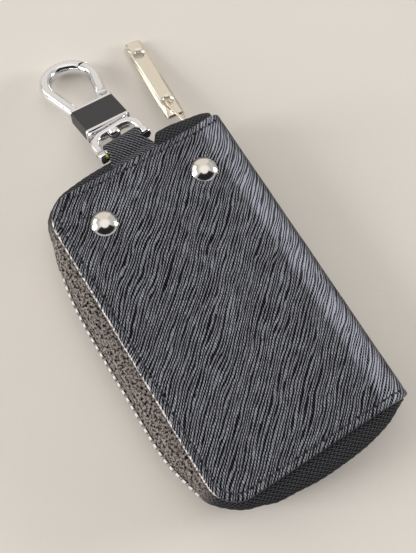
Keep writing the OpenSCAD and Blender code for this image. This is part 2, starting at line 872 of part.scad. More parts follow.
module strap() {
    color("#232327")
        strap_place()
            intersection() {
                rotate([90, 0, 90])
                    linear_extrude(2 * strap_root_w, center = true) strap_side_2d();
                linear_extrude(2 * loop_d, center = true)
                    polygon([[-strap_root_w / 2, -pin_out - tail_l],
                        [-strap_root_w / 2, -pin_out + neck_out],
                        [-strap_w / 2, -loop_d / 2], [-strap_w / 2, loop_d],
                        [strap_w / 2, loop_d], [strap_w / 2, -loop_d / 2],
                        [strap_root_w / 2, -pin_out + neck_out],
                        [strap_root_w / 2, -pin_out - tail_l]]);
            }
}

module shackle_place() {
    strap_place() rotate([-hook_slope, 0, 0]) children();
}

module arch_2d(w, l, r) {
    translate([-w / 2, -ear_d]) square([w, ear_d + l - r]);
    translate([-w / 2 + r, -ear_d]) square([w - 2 * r, ear_d + l]);
    for (side = [-1, 1])
        translate([side * (w / 2 - r), l - r]) circle(r);
}

module shackle() {
    wall = (shackle_w - shackle_inner_w) / 2;
    color("#d6d6d8")
        shackle_place()
            difference() {
                intersection() {
                    linear_extrude(2 * ear_d, center = true)
                        difference() {
                            arch_2d(shackle_w, shackle_l, shackle_corner_r);
                            arch_2d(shackle_inner_w, shackle_l - crown_t, shackle_corner_r - wall);
                        }
                    rotate([90, 0, 90])
                        linear_extrude(2 * shackle_w, center = true) {
                            circle(d = ear_d);
                            translate([0, -crown_h / 2])
                                square([shackle_l + overrun, crown_h]);
                        }
                }
                rotate([0, 90, 0]) cylinder(d = pin_d, h = 2 * shackle_w, center = true);
                rotate([-90, 0, 0])
                    cylinder(d = swivel_d + 2 * run_gap, h = 2 * shackle_l);
                translate([lock_u, 0, pin_d / 2])
                    cylinder(d = lock_d, h = ear_d);
            }
}

module shackle_pin() {
    color("#c8c8ca")
        shackle_place()
            rotate([0, 90, 0])
                cylinder(d = pin_d, h = shackle_w - face_gap, center = true);
}

module lock_screw() {
    color("#c2c2c4")
        shackle_place()
            translate([lock_u, 0, pin_d / 2])
                difference() {
                    cylinder(d = lock_d, h = lock_l);
                    translate([-lock_d, -slot_w / 2, lock_l - slot_h])
                        cube([2 * lock_d, slot_w, lock_l]);
                }
}

module hook_place() {
    shackle_place() rotate([0, hook_roll, 0]) children();
}

// Post with a domed head inside the shackle, turning in its crown
module swivel_post() {
    crown_v = shackle_l - crown_t;
    head_r = swivel_head_d / 2;
    dome_r = (head_r * head_r + head_dome * head_dome) / (2 * head_dome);
    color("#d2d2d4")
        hook_place()
            rotate([-90, 0, 0]) {
                translate([0, 0, crown_v - run_gap - head_t])
                    cylinder(r = head_r, h = head_t);
                intersection() {
                    translate([0, 0, crown_v - run_gap - head_t - head_dome + dome_r])
                        sphere(dome_r);
                    translate([0, 0, crown_v - head_t - 2 * head_dome])
                        cylinder(r = head_r, h = 2 * head_dome);
                }
                translate([0, 0, crown_v - head_t])
                    cylinder(d = swivel_d, h = head_t + crown_t + post_depth);
            }
}

module rounded_2d(w, t, r) {
    square([w - 2 * r, t], center = true);
    square([w, t - 2 * r], center = true);
    for (a = [-1, 1], b = [-1, 1])
        translate([a * (w / 2 - r), b * (t / 2 - r)]) circle(r);
}

module along_hook(v, l) {
    translate([0, v + l, 0]) rotate([90, 0, 0]) linear_extrude(l) children();
}

// Middle line of the ring at angle a, and the metal round it
function ring_centre(a) = [ring_r * cos(a), ring_v + ring_r * sin(a)];
function ring_half(a) = limb_d / 2 + (nose_d - limb_d) / 2 * pow(max(0, sin(a)), 2);
function squared(x) = sign(x) * pow(abs(x), ring_round);
function ring_section(p, dir, half_u, half_w, cut) =
    [for (j = [0:ring_sides - 1]) let (a = 360 * (j + 0.5) / ring_sides,
        out = half_u * squared(cos(a)),
        q = [p[0] + dir[1] * out, p[1] - dir[0] * out],
        t = cut == undef ? 0 : (cut - q[1]) / dir[1])
        [q[0] + dir[0] * t, q[1] + dir[1] * t, half_w * squared(sin(a))]];

module ring_sweep(side, foot_v, first_share, angles, cut) {
    foot = [side * limb_span / 2, foot_v];
    join_a = side > 0 ? -taper : 180 + taper;
    join = ring_centre(join_a);
    dir = (join - foot) / norm(join - foot);
    straight = [for (i = [0:limb_steps - 1]) let (t = i / limb_steps)
        ring_section(foot + (join - foot) * t, dir, limb_d / 2,
            ring_t / 2 * min(1, first_share + limb_swell * t))];
    turn = side > 0 ? 1 : -1;
    last = len(angles) - 1;
    arc = [for (i = [0:last]) let (a = angles[i])
        ring_section(ring_centre(a), [-turn * sin(a), turn * cos(a)], ring_half(a),
            ring_t / 2, i == last ? cut : undef)];
    tube([for (ring = concat(straight, arc)) ring]);
}

module hook_body() {
    turn_step = (180 + taper - cut_angle) / arc_steps;
    color("#d8d8da")
        hook_place()
            difference() {
                union() {
                    along_hook(block_v, rim_l) rounded_2d(block_w, block_t, block_r);
                    along_hook(block_v, block_end - block_v) rounded_2d(core_w, core_t, block_r);
                    along_hook(rim_2_v, rim_l) rounded_2d(block_w, block_t, block_r);
                    ring_sweep(-1, block_end - rim_l / 2, 1,
                        [for (i = [0:arc_steps]) 180 + taper - i * turn_step], cut_v + cut_gap);
                    for (side = [-1, 1]) {
                        z = side > 0 ? knuckle_t / 2 + lug_gap : -knuckle_t / 2 - lug_gap - lug_t;
                        translate([pivot_u, pivot_v, z]) cylinder(d = lug_d, h = lug_t);
                        translate([pivot_u - lug_d / 2, block_end - rim_l / 2, z])
                            cube([lug_d, pivot_v - block_end + rim_l / 2, lug_t]);
                    }
                }
                rotate([-90, 0, 0]) cylinder(d = swivel_d, h = shackle_l + post_depth);
                translate([pivot_u, pivot_v, 0])
                    cylinder(d = gate_pin_d, h = 2 * block_t, center = true);
            }
}

module grip_sleeve() {
    color("#1f1f22")
        hook_place()
            along_hook(sleeve_v, sleeve_l)
                difference() {
                    rounded_2d(block_w - face_gap, block_t - face_gap, block_r);
                    rounded_2d(core_w, core_t, block_r);
                }
}

module gate() {
    gate_steps = 3;
    turn_step = (cut_angle + taper) / gate_steps;
    color("#d4d4d6")
        hook_place()
            difference() {
                union() {
                    ring_sweep(1, pivot_v, gate_root_share,
                        [for (i = [0:gate_steps]) -taper + i * turn_step], cut_v);
                    translate([pivot_u, pivot_v, 0])
                        cylinder(d = knuckle_d, h = knuckle_t, center = true);
                }
                translate([pivot_u, pivot_v, 0])
                    cylinder(d = gate_bore_d, h = 2 * block_t, center = true);
                for (side = [-1, 1])
                    translate([pivot_u, pivot_v, side > 0 ? knuckle_t / 2 : -knuckle_t / 2 - ring_t])
                        cylinder(d = lug_d + 2 * face_gap, h = ring_t);
            }
}

module gate_pin() {
    color("#bcbcbe")
        hook_place()
            translate([pivot_u, pivot_v, 0])
                cylinder(d = gate_pin_d, h = knuckle_t + 2 * lug_gap + 2 * lug_t, center = true);
}

// Leaf spring from the rim to the heel of the gate
module gate_spring() {
    color("#a8a8aa")
        hook_place()
            translate([pivot_u - limb_d / 2 - face_gap, spring_v, 0])
                rotate([0, 0, spring_lean])
                    translate([-spring_t, 0, -spring_w / 2])
                        cube([spring_t, spring_l, spring_w]);
}

back_leather();
front_leather();
back_board();
front_board();
back_lining();
front_lining();
back_tape();
front_tape();
back_teeth_top();
front_teeth_top();
back_teeth_round();
front_teeth_round();
front_teeth_foot();
back_top_stop();
front_top_stop();
bottom_stop();
slider();
pull_link();
pull_bar();
rivet_caps();
rivet_inner_caps();
key_rail();
key_rod();
key_hook(1);  // key_hook_1
key_hook(2);  // key_hook_2
key_hook(3);  // key_hook_3
key_hook(4);  // key_hook_4
key_hook(5);  // key_hook_5
key_hook(6);  // key_hook_6
strap();
shackle();
shackle_pin();
lock_screw();
swivel_post();
hook_body();
grip_sleeve();
gate();
gate_pin();
gate_spring();
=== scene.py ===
"""Zip key case in black cross-grain leather, with its key rail, pull, strap and snap hook."""

import math

import bmesh
import bpy
import numpy as np
from bpy.props import FloatProperty, FloatVectorProperty, PointerProperty
from mathutils import Matrix, Vector


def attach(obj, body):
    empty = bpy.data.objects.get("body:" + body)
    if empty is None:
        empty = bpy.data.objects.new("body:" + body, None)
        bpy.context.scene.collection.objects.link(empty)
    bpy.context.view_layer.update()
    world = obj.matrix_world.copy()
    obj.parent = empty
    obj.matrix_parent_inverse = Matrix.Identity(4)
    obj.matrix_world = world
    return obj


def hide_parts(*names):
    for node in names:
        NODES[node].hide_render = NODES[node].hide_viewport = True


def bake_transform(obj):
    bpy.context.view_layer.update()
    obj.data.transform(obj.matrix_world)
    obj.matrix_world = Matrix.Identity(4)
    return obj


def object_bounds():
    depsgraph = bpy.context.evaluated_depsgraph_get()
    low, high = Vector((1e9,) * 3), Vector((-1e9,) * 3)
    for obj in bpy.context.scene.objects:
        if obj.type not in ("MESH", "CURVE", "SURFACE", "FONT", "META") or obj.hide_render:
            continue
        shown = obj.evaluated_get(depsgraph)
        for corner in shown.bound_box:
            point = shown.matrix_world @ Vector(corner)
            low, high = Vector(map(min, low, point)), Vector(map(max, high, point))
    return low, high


bl_info = {
    "name": "Zip Key Case",
    "version": (1, 0, 0),
    "blender": (4, 5, 0),
    "location": "View3D > Sidebar > Key Case",
    "description": "Builds a leather key case with its zip, key rail, pull, strap and snap hook",
    "category": "Object",
}

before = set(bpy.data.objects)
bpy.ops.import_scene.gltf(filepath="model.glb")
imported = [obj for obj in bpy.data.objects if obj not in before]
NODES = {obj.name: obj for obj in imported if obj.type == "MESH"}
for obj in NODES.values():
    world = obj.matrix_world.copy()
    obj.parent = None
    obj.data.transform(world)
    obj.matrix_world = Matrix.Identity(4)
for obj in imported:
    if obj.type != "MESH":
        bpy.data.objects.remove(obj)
CAD_BOX = [list(corner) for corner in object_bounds()]
MM = 0.001
# Places of the two rivets on the front
RIVETS = ((-0.0197, 0.040), (0.0177, 0.040))
FINISHES = {}


def length(name, default, description):
    return FloatProperty(name=name, default=default, unit="LENGTH", precision=5, description=description)


def colour(name, default, description):
    return FloatVectorProperty(name=name, default=default, subtype="COLOR", size=3, min=0, max=1,
                               description=description)


class KeyCaseSizes(bpy.types.PropertyGroup):
    """Sizes of the case, the same as those of the solids under it"""

    body_l: length("Body length", 0.110, "Length of the leather body along its fold")
    body_w: length("Body width", 0.069, "Width from the open edge to the fold")
    body_t: length("Body thickness", 0.020, "Thickness of the closed body")
    corner_r: length("Corner radius", 0.010, "Radius of the corners at the open edge")
    spine_r: length("Spine radius", 0.008, "Outside radius of the folded spine")
    leather_t: length("Leather thickness", 0.0018, "Thickness of the cover")
    flare_w: length("Flare width", 0.014, "How far from the fold the leather starts to flare")
    flare_top: length("Top flare", 0.002, "How far the leather stands out at the top of the fold")
    flare_foot: length("Foot flare", 0.0005, "How far the leather stands out at the foot of the fold")
    puff: length("Puff", 0.00035, "How far the cover swells between its seams")
    stitch_in: length("Stitch inset", 0.00245, "Distance from the edge to the stitching")
    stitch_pitch: length("Stitch pitch", 0.0032, "Distance from one stitch to the next")
    thread_d: length("Thread", 0.00062, "Thickness of the sewing thread")
    zip_bulge: length("Zip bulge", 0.0066, "How far the tape bulges out at its widest")
    tape_t: length("Tape thickness", 0.0005, "Thickness of the zip tape")
    strap_t: length("Strap thickness", 0.0014, "Thickness of the strap leather")


class KeyCaseColours(bpy.types.PropertyGroup):
    """Colours of the finishes"""

    leather: colour("Leather", (0.050, 0.051, 0.058), "Ridges of the leather grain")
    thread: colour("Thread", (0.040, 0.040, 0.044), "Sewing thread")
    tape: colour("Tape", (0.062, 0.054, 0.049), "Zip tape")
    lining: colour("Lining", (0.022, 0.022, 0.026), "Cloth lining")
    chrome: colour("Chrome", (0.86, 0.86, 0.88), "Shackle and snap hook")
    nickel: colour("Nickel", (0.84, 0.81, 0.76), "Rivets, slider and teeth")
    pull: colour("Pull", (0.86, 0.80, 0.70), "Zip pull")
    floor: colour("Floor", (0.79, 0.745, 0.685), "Table top")


class KeyCaseStage(bpy.types.PropertyGroup):
    """Lamps and camera"""

    right_power: FloatProperty(name="Right lamp", default=10.4, subtype="POWER",
                               description="Power of the lamp beyond the fold")
    left_power: FloatProperty(name="Left lamp", default=15.6, subtype="POWER",
                              description="Power of the lamp beyond the open edge")
    world: FloatProperty(name="World", default=0.92, description="Strength of the room light")


def sizes():
    return bpy.context.scene.key_case_sizes


def colours():
    return bpy.context.scene.key_case_colours


# Shader graphs

# Painted shade: near-black colour without gloss, laid into the pits of the grain and the gaps between
# threads
PIT_SHADE_COLOUR = (0.003, 0.003, 0.003)


class Wire:
    """A shader socket that takes part in arithmetic: each step adds a Math node"""

    def __init__(self, graph, socket):
        self.graph, self.socket = graph, socket

    def math(self, operation, *values):
        return self.graph.node("ShaderNodeMath", {"operation": operation}, dict(enumerate(values)))

    def __add__(self, other):
        return self.math("ADD", self, other)

    def __sub__(self, other):
        return self.math("SUBTRACT", self, other)

    def __rsub__(self, other):
        return self.math("SUBTRACT", other, self)

    def __mul__(self, other):
        return self.math("MULTIPLY", self, other)

    def __truediv__(self, other):
        return self.math("DIVIDE", self, other)

    def __pow__(self, other):
        return self.math("POWER", self, other)

    __radd__, __rmul__ = __add__, __mul__

    def sin(self):
        return self.math("SINE", self)

    def abs(self):
        return self.math("ABSOLUTE", self)

    def fraction(self):
        return self.math("FRACT", self)

    def step(self, start, end):
        """0 below start, 1 above end, with a smooth rise between"""
        return self.graph.node("ShaderNodeMapRange", {"interpolation_type": "SMOOTHSTEP"},
                               {"Value": self, "From Min": start, "From Max": end})


class Graph:
    """The nodes of one material or of the world"""

    def __init__(self, tree):
        self.tree = tree
        tree.nodes.clear()

    def node(self, kind, settings=None, inputs=None, output=None):
        """Adds a node with its settings, then with the values or links of its sockets"""
        made = self.tree.nodes.new(kind)
        for name, value in (settings or {}).items():
            setattr(made, name, value)
        for name, value in (inputs or {}).items():
            if isinstance(value, Wire):
                self.tree.links.new(value.socket, made.inputs[name])
            else:
                made.inputs[name].default_value = value
        first = next(socket for socket in made.outputs if socket.enabled)
        return Wire(self, made.outputs[output] if output else first)

    def mix(self, factor, a, b):
        """Colour a where factor is 0, b where it is 1"""
        return self.node("ShaderNodeMix", {"data_type": "RGBA"},
                         {0: factor, 6: a if isinstance(a, Wire) else (*a, 1),
                          7: b if isinstance(b, Wire) else (*b, 1)})

    def scaled(self, vector, scale):
        return self.node("ShaderNodeVectorMath", {"operation": "SCALE"}, {0: vector, "Scale": scale})

    def dot(self, vector, direction):
        return self.node("ShaderNodeVectorMath", {"operation": "DOT_PRODUCT"},
                         {0: vector, 1: (*direction, 0)[:3]}, "Value")

    def rows(self, vector, direction, pitch):
        """How many rows of that pitch lie before a point in that direction"""
        return self.dot(vector, tuple(x / pitch for x in direction))

    def sheet(self):
        """Millimetres along and across a piece of cloth or leather, and in from its edge"""
        at = self.node("ShaderNodeAttribute", {"attribute_name": "sheet"}, None, "Vector")
        return self.scaled(at, 1 / MM)

    def place(self):
        """Millimetres in the frame of the case"""
        return self.scaled(self.node("ShaderNodeTexCoord", None, None, "Object"), 1 / MM)

    def noise(self, vector, scale, detail=2.0, roughness=0.5):
        return self.node("ShaderNodeTexNoise", None,
                         {"Vector": vector, "Scale": scale, "Detail": detail,
                          "Roughness": roughness}, "Fac")

    def axis(self, vector, name):
        return self.node("ShaderNodeSeparateXYZ", None, {0: vector}, name)

    def bump(self, height, depth):
        return self.node("ShaderNodeBump", None,
                         {"Height": height, "Distance": depth, "Strength": 1.0}, "Normal")

    def surface(self, pit_shade=None, **inputs):
        """Principled surface, painted black without gloss where the first argument is 1, as shade in pits
        and gaps; _ stands for the space in a socket's name
        """
        named = {name.replace("_", " "): value for name, value in inputs.items()}
        shader = self.node("ShaderNodeBsdfPrincipled", None, named)
        if pit_shade is not None:
            deep = self.node("ShaderNodeBsdfDiffuse", None, {"Color": (*PIT_SHADE_COLOUR, 1)})
            shader = self.node("ShaderNodeMixShader", None, {0: pit_shade, 1: shader, 2: deep})
        out = self.tree.nodes.new("ShaderNodeOutputMaterial")
        self.tree.links.new(shader.socket, out.inputs["Surface"])


def material(name, build):
    """The material of that name, built on first use"""
    if name not in FINISHES:
        made = bpy.data.materials.new(name)
        made.use_nodes = True
        build(Graph(made.node_tree))
        FINISHES[name] = made
    return FINISHES[name]


def times(tint, *by):
    """A colour multiplied by one number, or by one each for its red, green and blue"""
    return tuple(x * y for x, y in zip(tint, by if len(by) == 3 else by * 3))


# Finishes, with their lengths in millimetres

ROW_PITCH, DASH_PITCH = 0.94, 0.71
OVER_ROWS, ALONG_ROWS, OVER_DASHES = (0.682, -0.731), (0.731, 0.682), (0.998, 0.05)
# The painted highlight on each side of the fold, where the leather turns toward the light: its middle, and
# where it fades on each side
FOLD_HIGHLIGHT_MIDDLE, FOLD_HIGHLIGHT_FADE = 13.2, (1.5, 5)
# Middle of the painted highlight on the grain beside a rivet, where the leather swells round it
RIVET_HIGHLIGHT = (4.5, 3.0)
STRAP_RIB_PITCH, STRAP_DASH_PITCH = 0.85, 1.2
# Where the open side, painted paler as the side the light falls on, starts and ends along the zip tape
TAPE_LIT_SIDE = (73, 165)
TWILL_PITCH, WEFT_PITCH, ZIGZAG_W, WIDE_TWILL_PITCH = 0.85, 0.62, 1.5, 1.7
LINING_PITCH = 0.5
SLEEVE_RIB_PITCH = 0.55


def cross_grain(g, p):
    """Pressed grain: height of its slanting ridges, painted glints along them, and painted shade in the pits
    between them
    """
    drift = g.noise(p, 0.045, 1.0)
    wander = g.noise(p, 0.35, 2.0)
    over_rows = g.dot(p, OVER_ROWS)
    stretched = g.node("ShaderNodeCombineXYZ", None, {"X": over_rows, "Y": g.dot(p, ALONG_ROWS) * 0.12})
    crowding = g.noise(stretched, 0.5, 2.0)
    row = over_rows / ROW_PITCH + drift * 4.0 + crowding * 2.2 + wander * 0.4
    beat = g.rows(p, OVER_DASHES, DASH_PITCH) + drift * 2.5 + wander * 1.2
    ridge = (row * math.pi).sin().abs().step(0.38, 0.97)
    beat = (beat * math.pi).sin().abs()
    patch = g.noise(p, 0.16, 2.0).step(0.34, 0.66)
    ridge_glint = ridge * (1 - beat.step(0.15, 0.80) * 0.72) * (0.62 + patch * 0.38)
    pit_shade = (1 - ridge) * (0.25 + beat.step(0.20, 0.80) * (0.72 + patch * 0.10))
    return ridge, ridge_glint, pit_shade


def leather_finish(g):
    """Cross grain with painted glints and pit shade, a painted highlight on each side of the fold with
    painted shade past it, painted highlights beside the rivets, and a painted highlight on the open edge
    """
    c = colours()
    half_w = sizes().body_w / 2
    p = g.sheet()
    along, across, in_from_edge = (g.axis(p, name) for name in "XYZ")
    ridge, ridge_glint, pit_shade = cross_grain(g, p)
    fine = g.noise(p, 2.2, 3.0)
    cloud = g.noise(p, 0.06, 2.0)
    edge = 1 - in_from_edge.step(0.05, 0.5)
    off_fold = (along - cover_length() / 2 / MM).abs()
    painted_light = 1 - (off_fold - FOLD_HIGHLIGHT_MIDDLE).abs().step(*FOLD_HIGHLIGHT_FADE)
    # Painted glints dim past the fold, as painted shade where it turns away from the light, and brighten in
    # the painted highlight band
    ridge_glint *= 0.3 + off_fold.step(6, 10) * 0.7 + painted_light * 0.9
    tone = g.mix(cloud, times(c.leather, 0.55), times(c.leather, 0.95))
    # Painted highlight: pale bluish grain along each side of the fold, where the light from the right
    # catches it
    tone = g.mix(painted_light * 0.9, tone, times(c.leather, 8.5, 8.5, 9.1))
    # Painted highlight: the grain's glints are brighter where the leather swells beside each rivet
    for x, y in RIVETS:
        highlight_along, highlight_across = (x + half_w) / MM + RIVET_HIGHLIGHT[0], y / MM + RIVET_HIGHLIGHT[1]
        away_squared = (along - highlight_along) ** 2 + (across - highlight_across) ** 2
        ridge_glint *= 1.9 - away_squared.step(4, 70) * 0.9
    # Painted glints: the ridges are coloured pale grey, as light catching the black leather
    bright = ridge_glint * (0.15 + fine.step(0.3, 0.7) * 1.5)
    tone = g.mix(bright, tone, times(c.leather, 8.6, 8.8, 9.2))
    tone = g.mix(edge * 0.6, tone, times(c.leather, 0.6))
    # Painted highlight: a pale pink line along the open edge at the left, where its rounded edge catches the
    # light
    edge_highlight = (1 - along.step(0.8, 1.6)) * (1 - in_from_edge.step(0.35, 0.6))
    edge_highlight *= g.noise(p, 0.9, 2.0).step(0.40, 0.55)
    tone = g.mix(edge_highlight, tone, (0.85, 0.78, 0.78))
    relief = g.bump(ridge * (0.6 + ridge_glint * 0.4) * (1 - edge) + fine * 0.08, 0.20 * MM)
    # Painted shade in the pits, left off the cut edge
    g.surface(pit_shade * 1.75 * (1 - edge), Base_Color=tone, Roughness=0.42 + fine * 0.14 - painted_light * 0.06,
              Normal=relief)


def strap_finish(g):
    c = colours()
    p = g.sheet()
    wander = g.noise(p, 0.5, 2.0)
    rib = g.rows(p, (0.797, 0.604), STRAP_RIB_PITCH) * math.pi + wander * 2.5
    rib = rib.sin().abs().step(0.2, 0.85)
    cross = (g.rows(p, (0.604, -0.797), STRAP_DASH_PITCH) * math.pi + wander * 3.0).sin().abs()
    # Painted glints on the ribs and painted shade between them
    ridge_glint = rib * (0.25 + cross.step(0.2, 0.9) * 0.75)
    pit_shade = (1 - rib * 0.85) * (0.9 + cross.step(0.2, 0.8) * 0.4)
    tone = g.mix(ridge_glint, times(c.leather, 0.7), times(c.leather, 3.6))
    g.surface(pit_shade, Base_Color=tone, Roughness=0.45, Normal=g.bump(rib, 0.2 * MM))


def thread_finish(g):
    c = colours()
    p = g.sheet()
    twist = (g.dot(p, (9.0, 9.0)) + g.noise(p, 2.0) * 2).sin() * 0.5 + 0.5
    tone = g.mix(twist, times(c.thread, 0.5), times(c.thread, 1.6))
    g.surface(Base_Color=tone, Roughness=0.6, Normal=g.bump(twist, 0.05 * MM))


# Painted shade: the needle holes are near black, darker than the leather round them
def needle_hole_finish(g):
    p = g.sheet()
    g.surface(Base_Color=g.mix(g.noise(p, 4.0), (0.002, 0.002, 0.002), (0.006, 0.006, 0.006)),
              Roughness=0.9)


def tape_finish(g):
    """Twill, nearly black at the ends of the case and painted paler along its open side, where light falls,
    with painted shade between its threads
    """
    c = colours()
    p = g.sheet()
    fuzz = g.noise(p, 1.9, 3.0, 0.7)
    along, across = g.axis(p, "X"), g.axis(p, "Y")
    start, end = TAPE_LIT_SIDE
    flip = ((across / ZIGZAG_W + 0.25).fraction() - 0.5).abs() * ZIGZAG_W * 2
    rib = ((along + flip) * (2 * math.pi / TWILL_PITCH) + fuzz * 2.4).sin() * 0.5 + 0.5
    weft = (across * (2 * math.pi / WEFT_PITCH) + fuzz * 5.0).sin() * 0.5 + 0.5
    # Painted light: the open side, which faces the light, is made far paler, with darker fuzz on it
    painted_light = along.step(start - 6, start + 4) * (1 - along.step(end - 4, end + 8))
    weave = rib.step(0.2, 0.8) * (0.45 + weft * 0.55)
    fluff = g.noise(p, 1.15, 2.0, 0.6).step(0.36, 0.62)
    wide = ((along + flip * 1.2) * (2 * math.pi / WIDE_TWILL_PITCH) + fuzz * 2).sin().step(-0.4, 0.8)
    tone = g.mix(wide, times(c.tape, 0.3, 0.35, 0.4), times(c.tape, 1.3, 1.5, 1.9))
    tone = g.mix(painted_light, tone, times(c.tape, 10))
    tone = g.mix(fuzz.step(0.45, 0.75) * painted_light, tone, times(c.tape, 2))
    # Painted shade between the threads: set by the weave on the lit side, by the twill elsewhere
    cover = g.mix(painted_light, wide * 0.6 + 0.3, fluff * (0.45 + weave * 0.55))
    g.surface(1 - cover, Base_Color=tone, Roughness=0.82,
              Normal=g.bump(weave + fuzz * 0.5, 0.16 * MM))


def lining_finish(g):
    c = colours()
    p = g.sheet()
    warp = g.dot(p, (2 * math.pi / LINING_PITCH, 0)).sin()
    weft = g.dot(p, (0, 2 * math.pi / LINING_PITCH)).sin()
    weave = warp * weft * 0.5 + 0.5
    tone = g.mix(weave, times(c.lining, 0.6), times(c.lining, 1.5))
    tone = g.mix(g.noise(p, 0.2) * 0.4, tone, times(c.lining, 0.7))
    g.surface(Base_Color=tone, Roughness=0.85, Normal=g.bump(weave, 0.06 * MM), Sheen_Weight=0.2)


def board_finish(g):
    p = g.place()
    fibre = g.noise(p, 1.2, 4.0, 0.7)
    g.surface(Base_Color=g.mix(fibre, (0.30, 0.25, 0.18), (0.46, 0.40, 0.30)), Roughness=0.9,
              Normal=g.bump(fibre, 0.05 * MM))


def metal_finish(tint, rough, wear=0.25):
    """Plated metal: faint streaks in its polish, and darker spots where the plating is thin"""

    def build(g):
        p = g.place()
        cloud = g.noise(p, 0.35, 3.0)
        speck = g.noise(p, 2.2, 2.0).step(0.62, 0.78)
        base = g.mix(cloud * wear, tint, times(tint, 0.72))
        base = g.mix(speck * 0.12, base, times(tint, 0.5))
        g.surface(Base_Color=base, Metallic=1.0, Roughness=rough + cloud * 0.06 + speck * 0.05,
                  Normal=g.bump(g.noise(p, 0.5, 2.0), 0.02 * MM))

    return build


def sleeve_finish(g):
    p = g.place()
    along = g.dot(p, tuple(HOOK_TURN[:, 1]))
    rib = (along * (2 * math.pi / SLEEVE_RIB_PITCH)).sin() * 0.5 + 0.5
    fine = g.noise(p, 2.0, 2.0)
    tone = g.mix(rib * 0.7 + fine * 0.3, (0.012, 0.012, 0.014), (0.045, 0.045, 0.050))
    g.surface(Base_Color=tone, Roughness=0.42 + fine * 0.1, Normal=g.bump(rib, 0.035 * MM))


# Mesh code

MERGE, WELD = 1e-7, 1e-6
SHARP_ANGLE, BEVEL_ANGLE = 38, 35


def grid_faces(rows, columns, first=0):
    return [(first + i * columns + j, first + i * columns + j + 1,
             first + (i + 1) * columns + j + 1, first + (i + 1) * columns + j)
            for i in range(rows - 1) for j in range(columns - 1)]


def linked(name, data):
    """A new object of the scene"""
    obj = bpy.data.objects.new(name, data)
    bpy.context.scene.collection.objects.link(obj)
    return obj


def loft_faces(count, sides, caps=True):
    """Faces through count rings of that many sides"""
    faces = [(i * sides + j, i * sides + (j + 1) % sides,
              (i + 1) * sides + (j + 1) % sides, (i + 1) * sides + j)
             for i in range(count - 1) for j in range(sides)]
    if caps:
        faces += [tuple(range(sides))[::-1], tuple(range((count - 1) * sides, count * sides))]
    return faces


class Shell:
    """Vertices and faces of one piece, gathered from closed parts"""

    def __init__(self):
        self.points, self.faces, self.sheet, self.count = [], [], [], 0

    def add(self, points, faces, sheet=None):
        points = np.asarray(points, float).reshape(-1, 3)
        self.points.append(points)
        self.sheet.append(np.asarray(points if sheet is None else sheet, float).reshape(-1, 3))
        self.faces += [tuple(i + self.count for i in f) for f in faces]
        self.count += len(points)

    def loft(self, rings, sheet=None):
        rings = np.asarray(rings, float)
        self.add(rings, loft_faces(len(rings), rings.shape[1]), sheet)

    def piece(self, name, finish, build, slot, levels=0):
        mesh = bpy.data.meshes.new(name)
        mesh.from_pydata(np.concatenate(self.points).tolist(), [], self.faces)
        attribute = mesh.attributes.new("sheet", "FLOAT_VECTOR", "POINT")
        attribute.data.foreach_set("vector", np.concatenate(self.sheet).astype(np.float32).ravel())
        work = bmesh.new()
        work.from_mesh(mesh)
        bmesh.ops.remove_doubles(work, verts=work.verts, dist=MERGE)
        bmesh.ops.recalc_face_normals(work, faces=work.faces)
        work.to_mesh(mesh)
        work.free()
        shade_smooth(mesh)
        mesh.materials.append(material(finish, build))
        obj = linked(name, mesh)
        if levels:
            smooth = obj.modifiers.new("smooth", "SUBSURF")
            smooth.levels = smooth.render_levels = levels
        return obj


def shade_smooth(mesh):
    mesh.polygons.foreach_set("use_smooth", np.ones(len(mesh.polygons), bool))


def sharpen(obj):
    obj.data.set_sharp_from_angle(angle=math.radians(SHARP_ANGLE))


def dress(node, finish, build, bevel=0.0):
    """Gives a carried-over solid its finish, and rounds its edges"""
    obj = NODES[node]
    obj.data.materials.clear()
    obj.data.materials.append(material(finish, build))
    if bevel:
        weld = obj.modifiers.new("weld", "WELD")
        weld.merge_threshold = WELD
        edge = obj.modifiers.new("edges", "BEVEL")
        edge.width, edge.segments = bevel, 2
        edge.limit_method, edge.angle_limit = "ANGLE", math.radians(BEVEL_ANGLE)
        edge.harden_normals = True
        shade_smooth(obj.data)


def round_angles(count, first=0):
    """Angles evenly round a circle"""
    return 2 * math.pi * (np.arange(count) + first) / count


def smoothstep(x, start, end):
    t = np.clip((x - start) / (end - start), 0, 1)
    return t * t * (3 - 2 * t)


# Leather cover, folded round the spine

FOLD_STEPS = 30
# The leather round a rivet lies flat out to the first distance and swells again at the second
RIVET_FLAT, RIVET_DENT = (0.0042, 0.0105), (0.0044, 0.0065)
# How far the face waves, and how deep it is drawn in beside a rivet
WAVE, DENT = 0.00007, 0.00012
# Rings of a needle hole in millimetres, each with its radius and depth
NEEDLE_HOLE = ((0.54, 0.30), (0.54, 0.08), (0.42, 0.035), (0.12, 0.03))
# How far the seam runs on round the fold
SEAM_OVERRUN = 4.4 * MM
# Half a stitch as a share of the pitch, how far it leans, and the depth of its middle and of its ends
STITCH_REACH, STITCH_LEAN, STITCH_SUNK, STITCH_DIVE = 0.34, 0.16 * MM, 0.16 * MM, 0.30 * MM


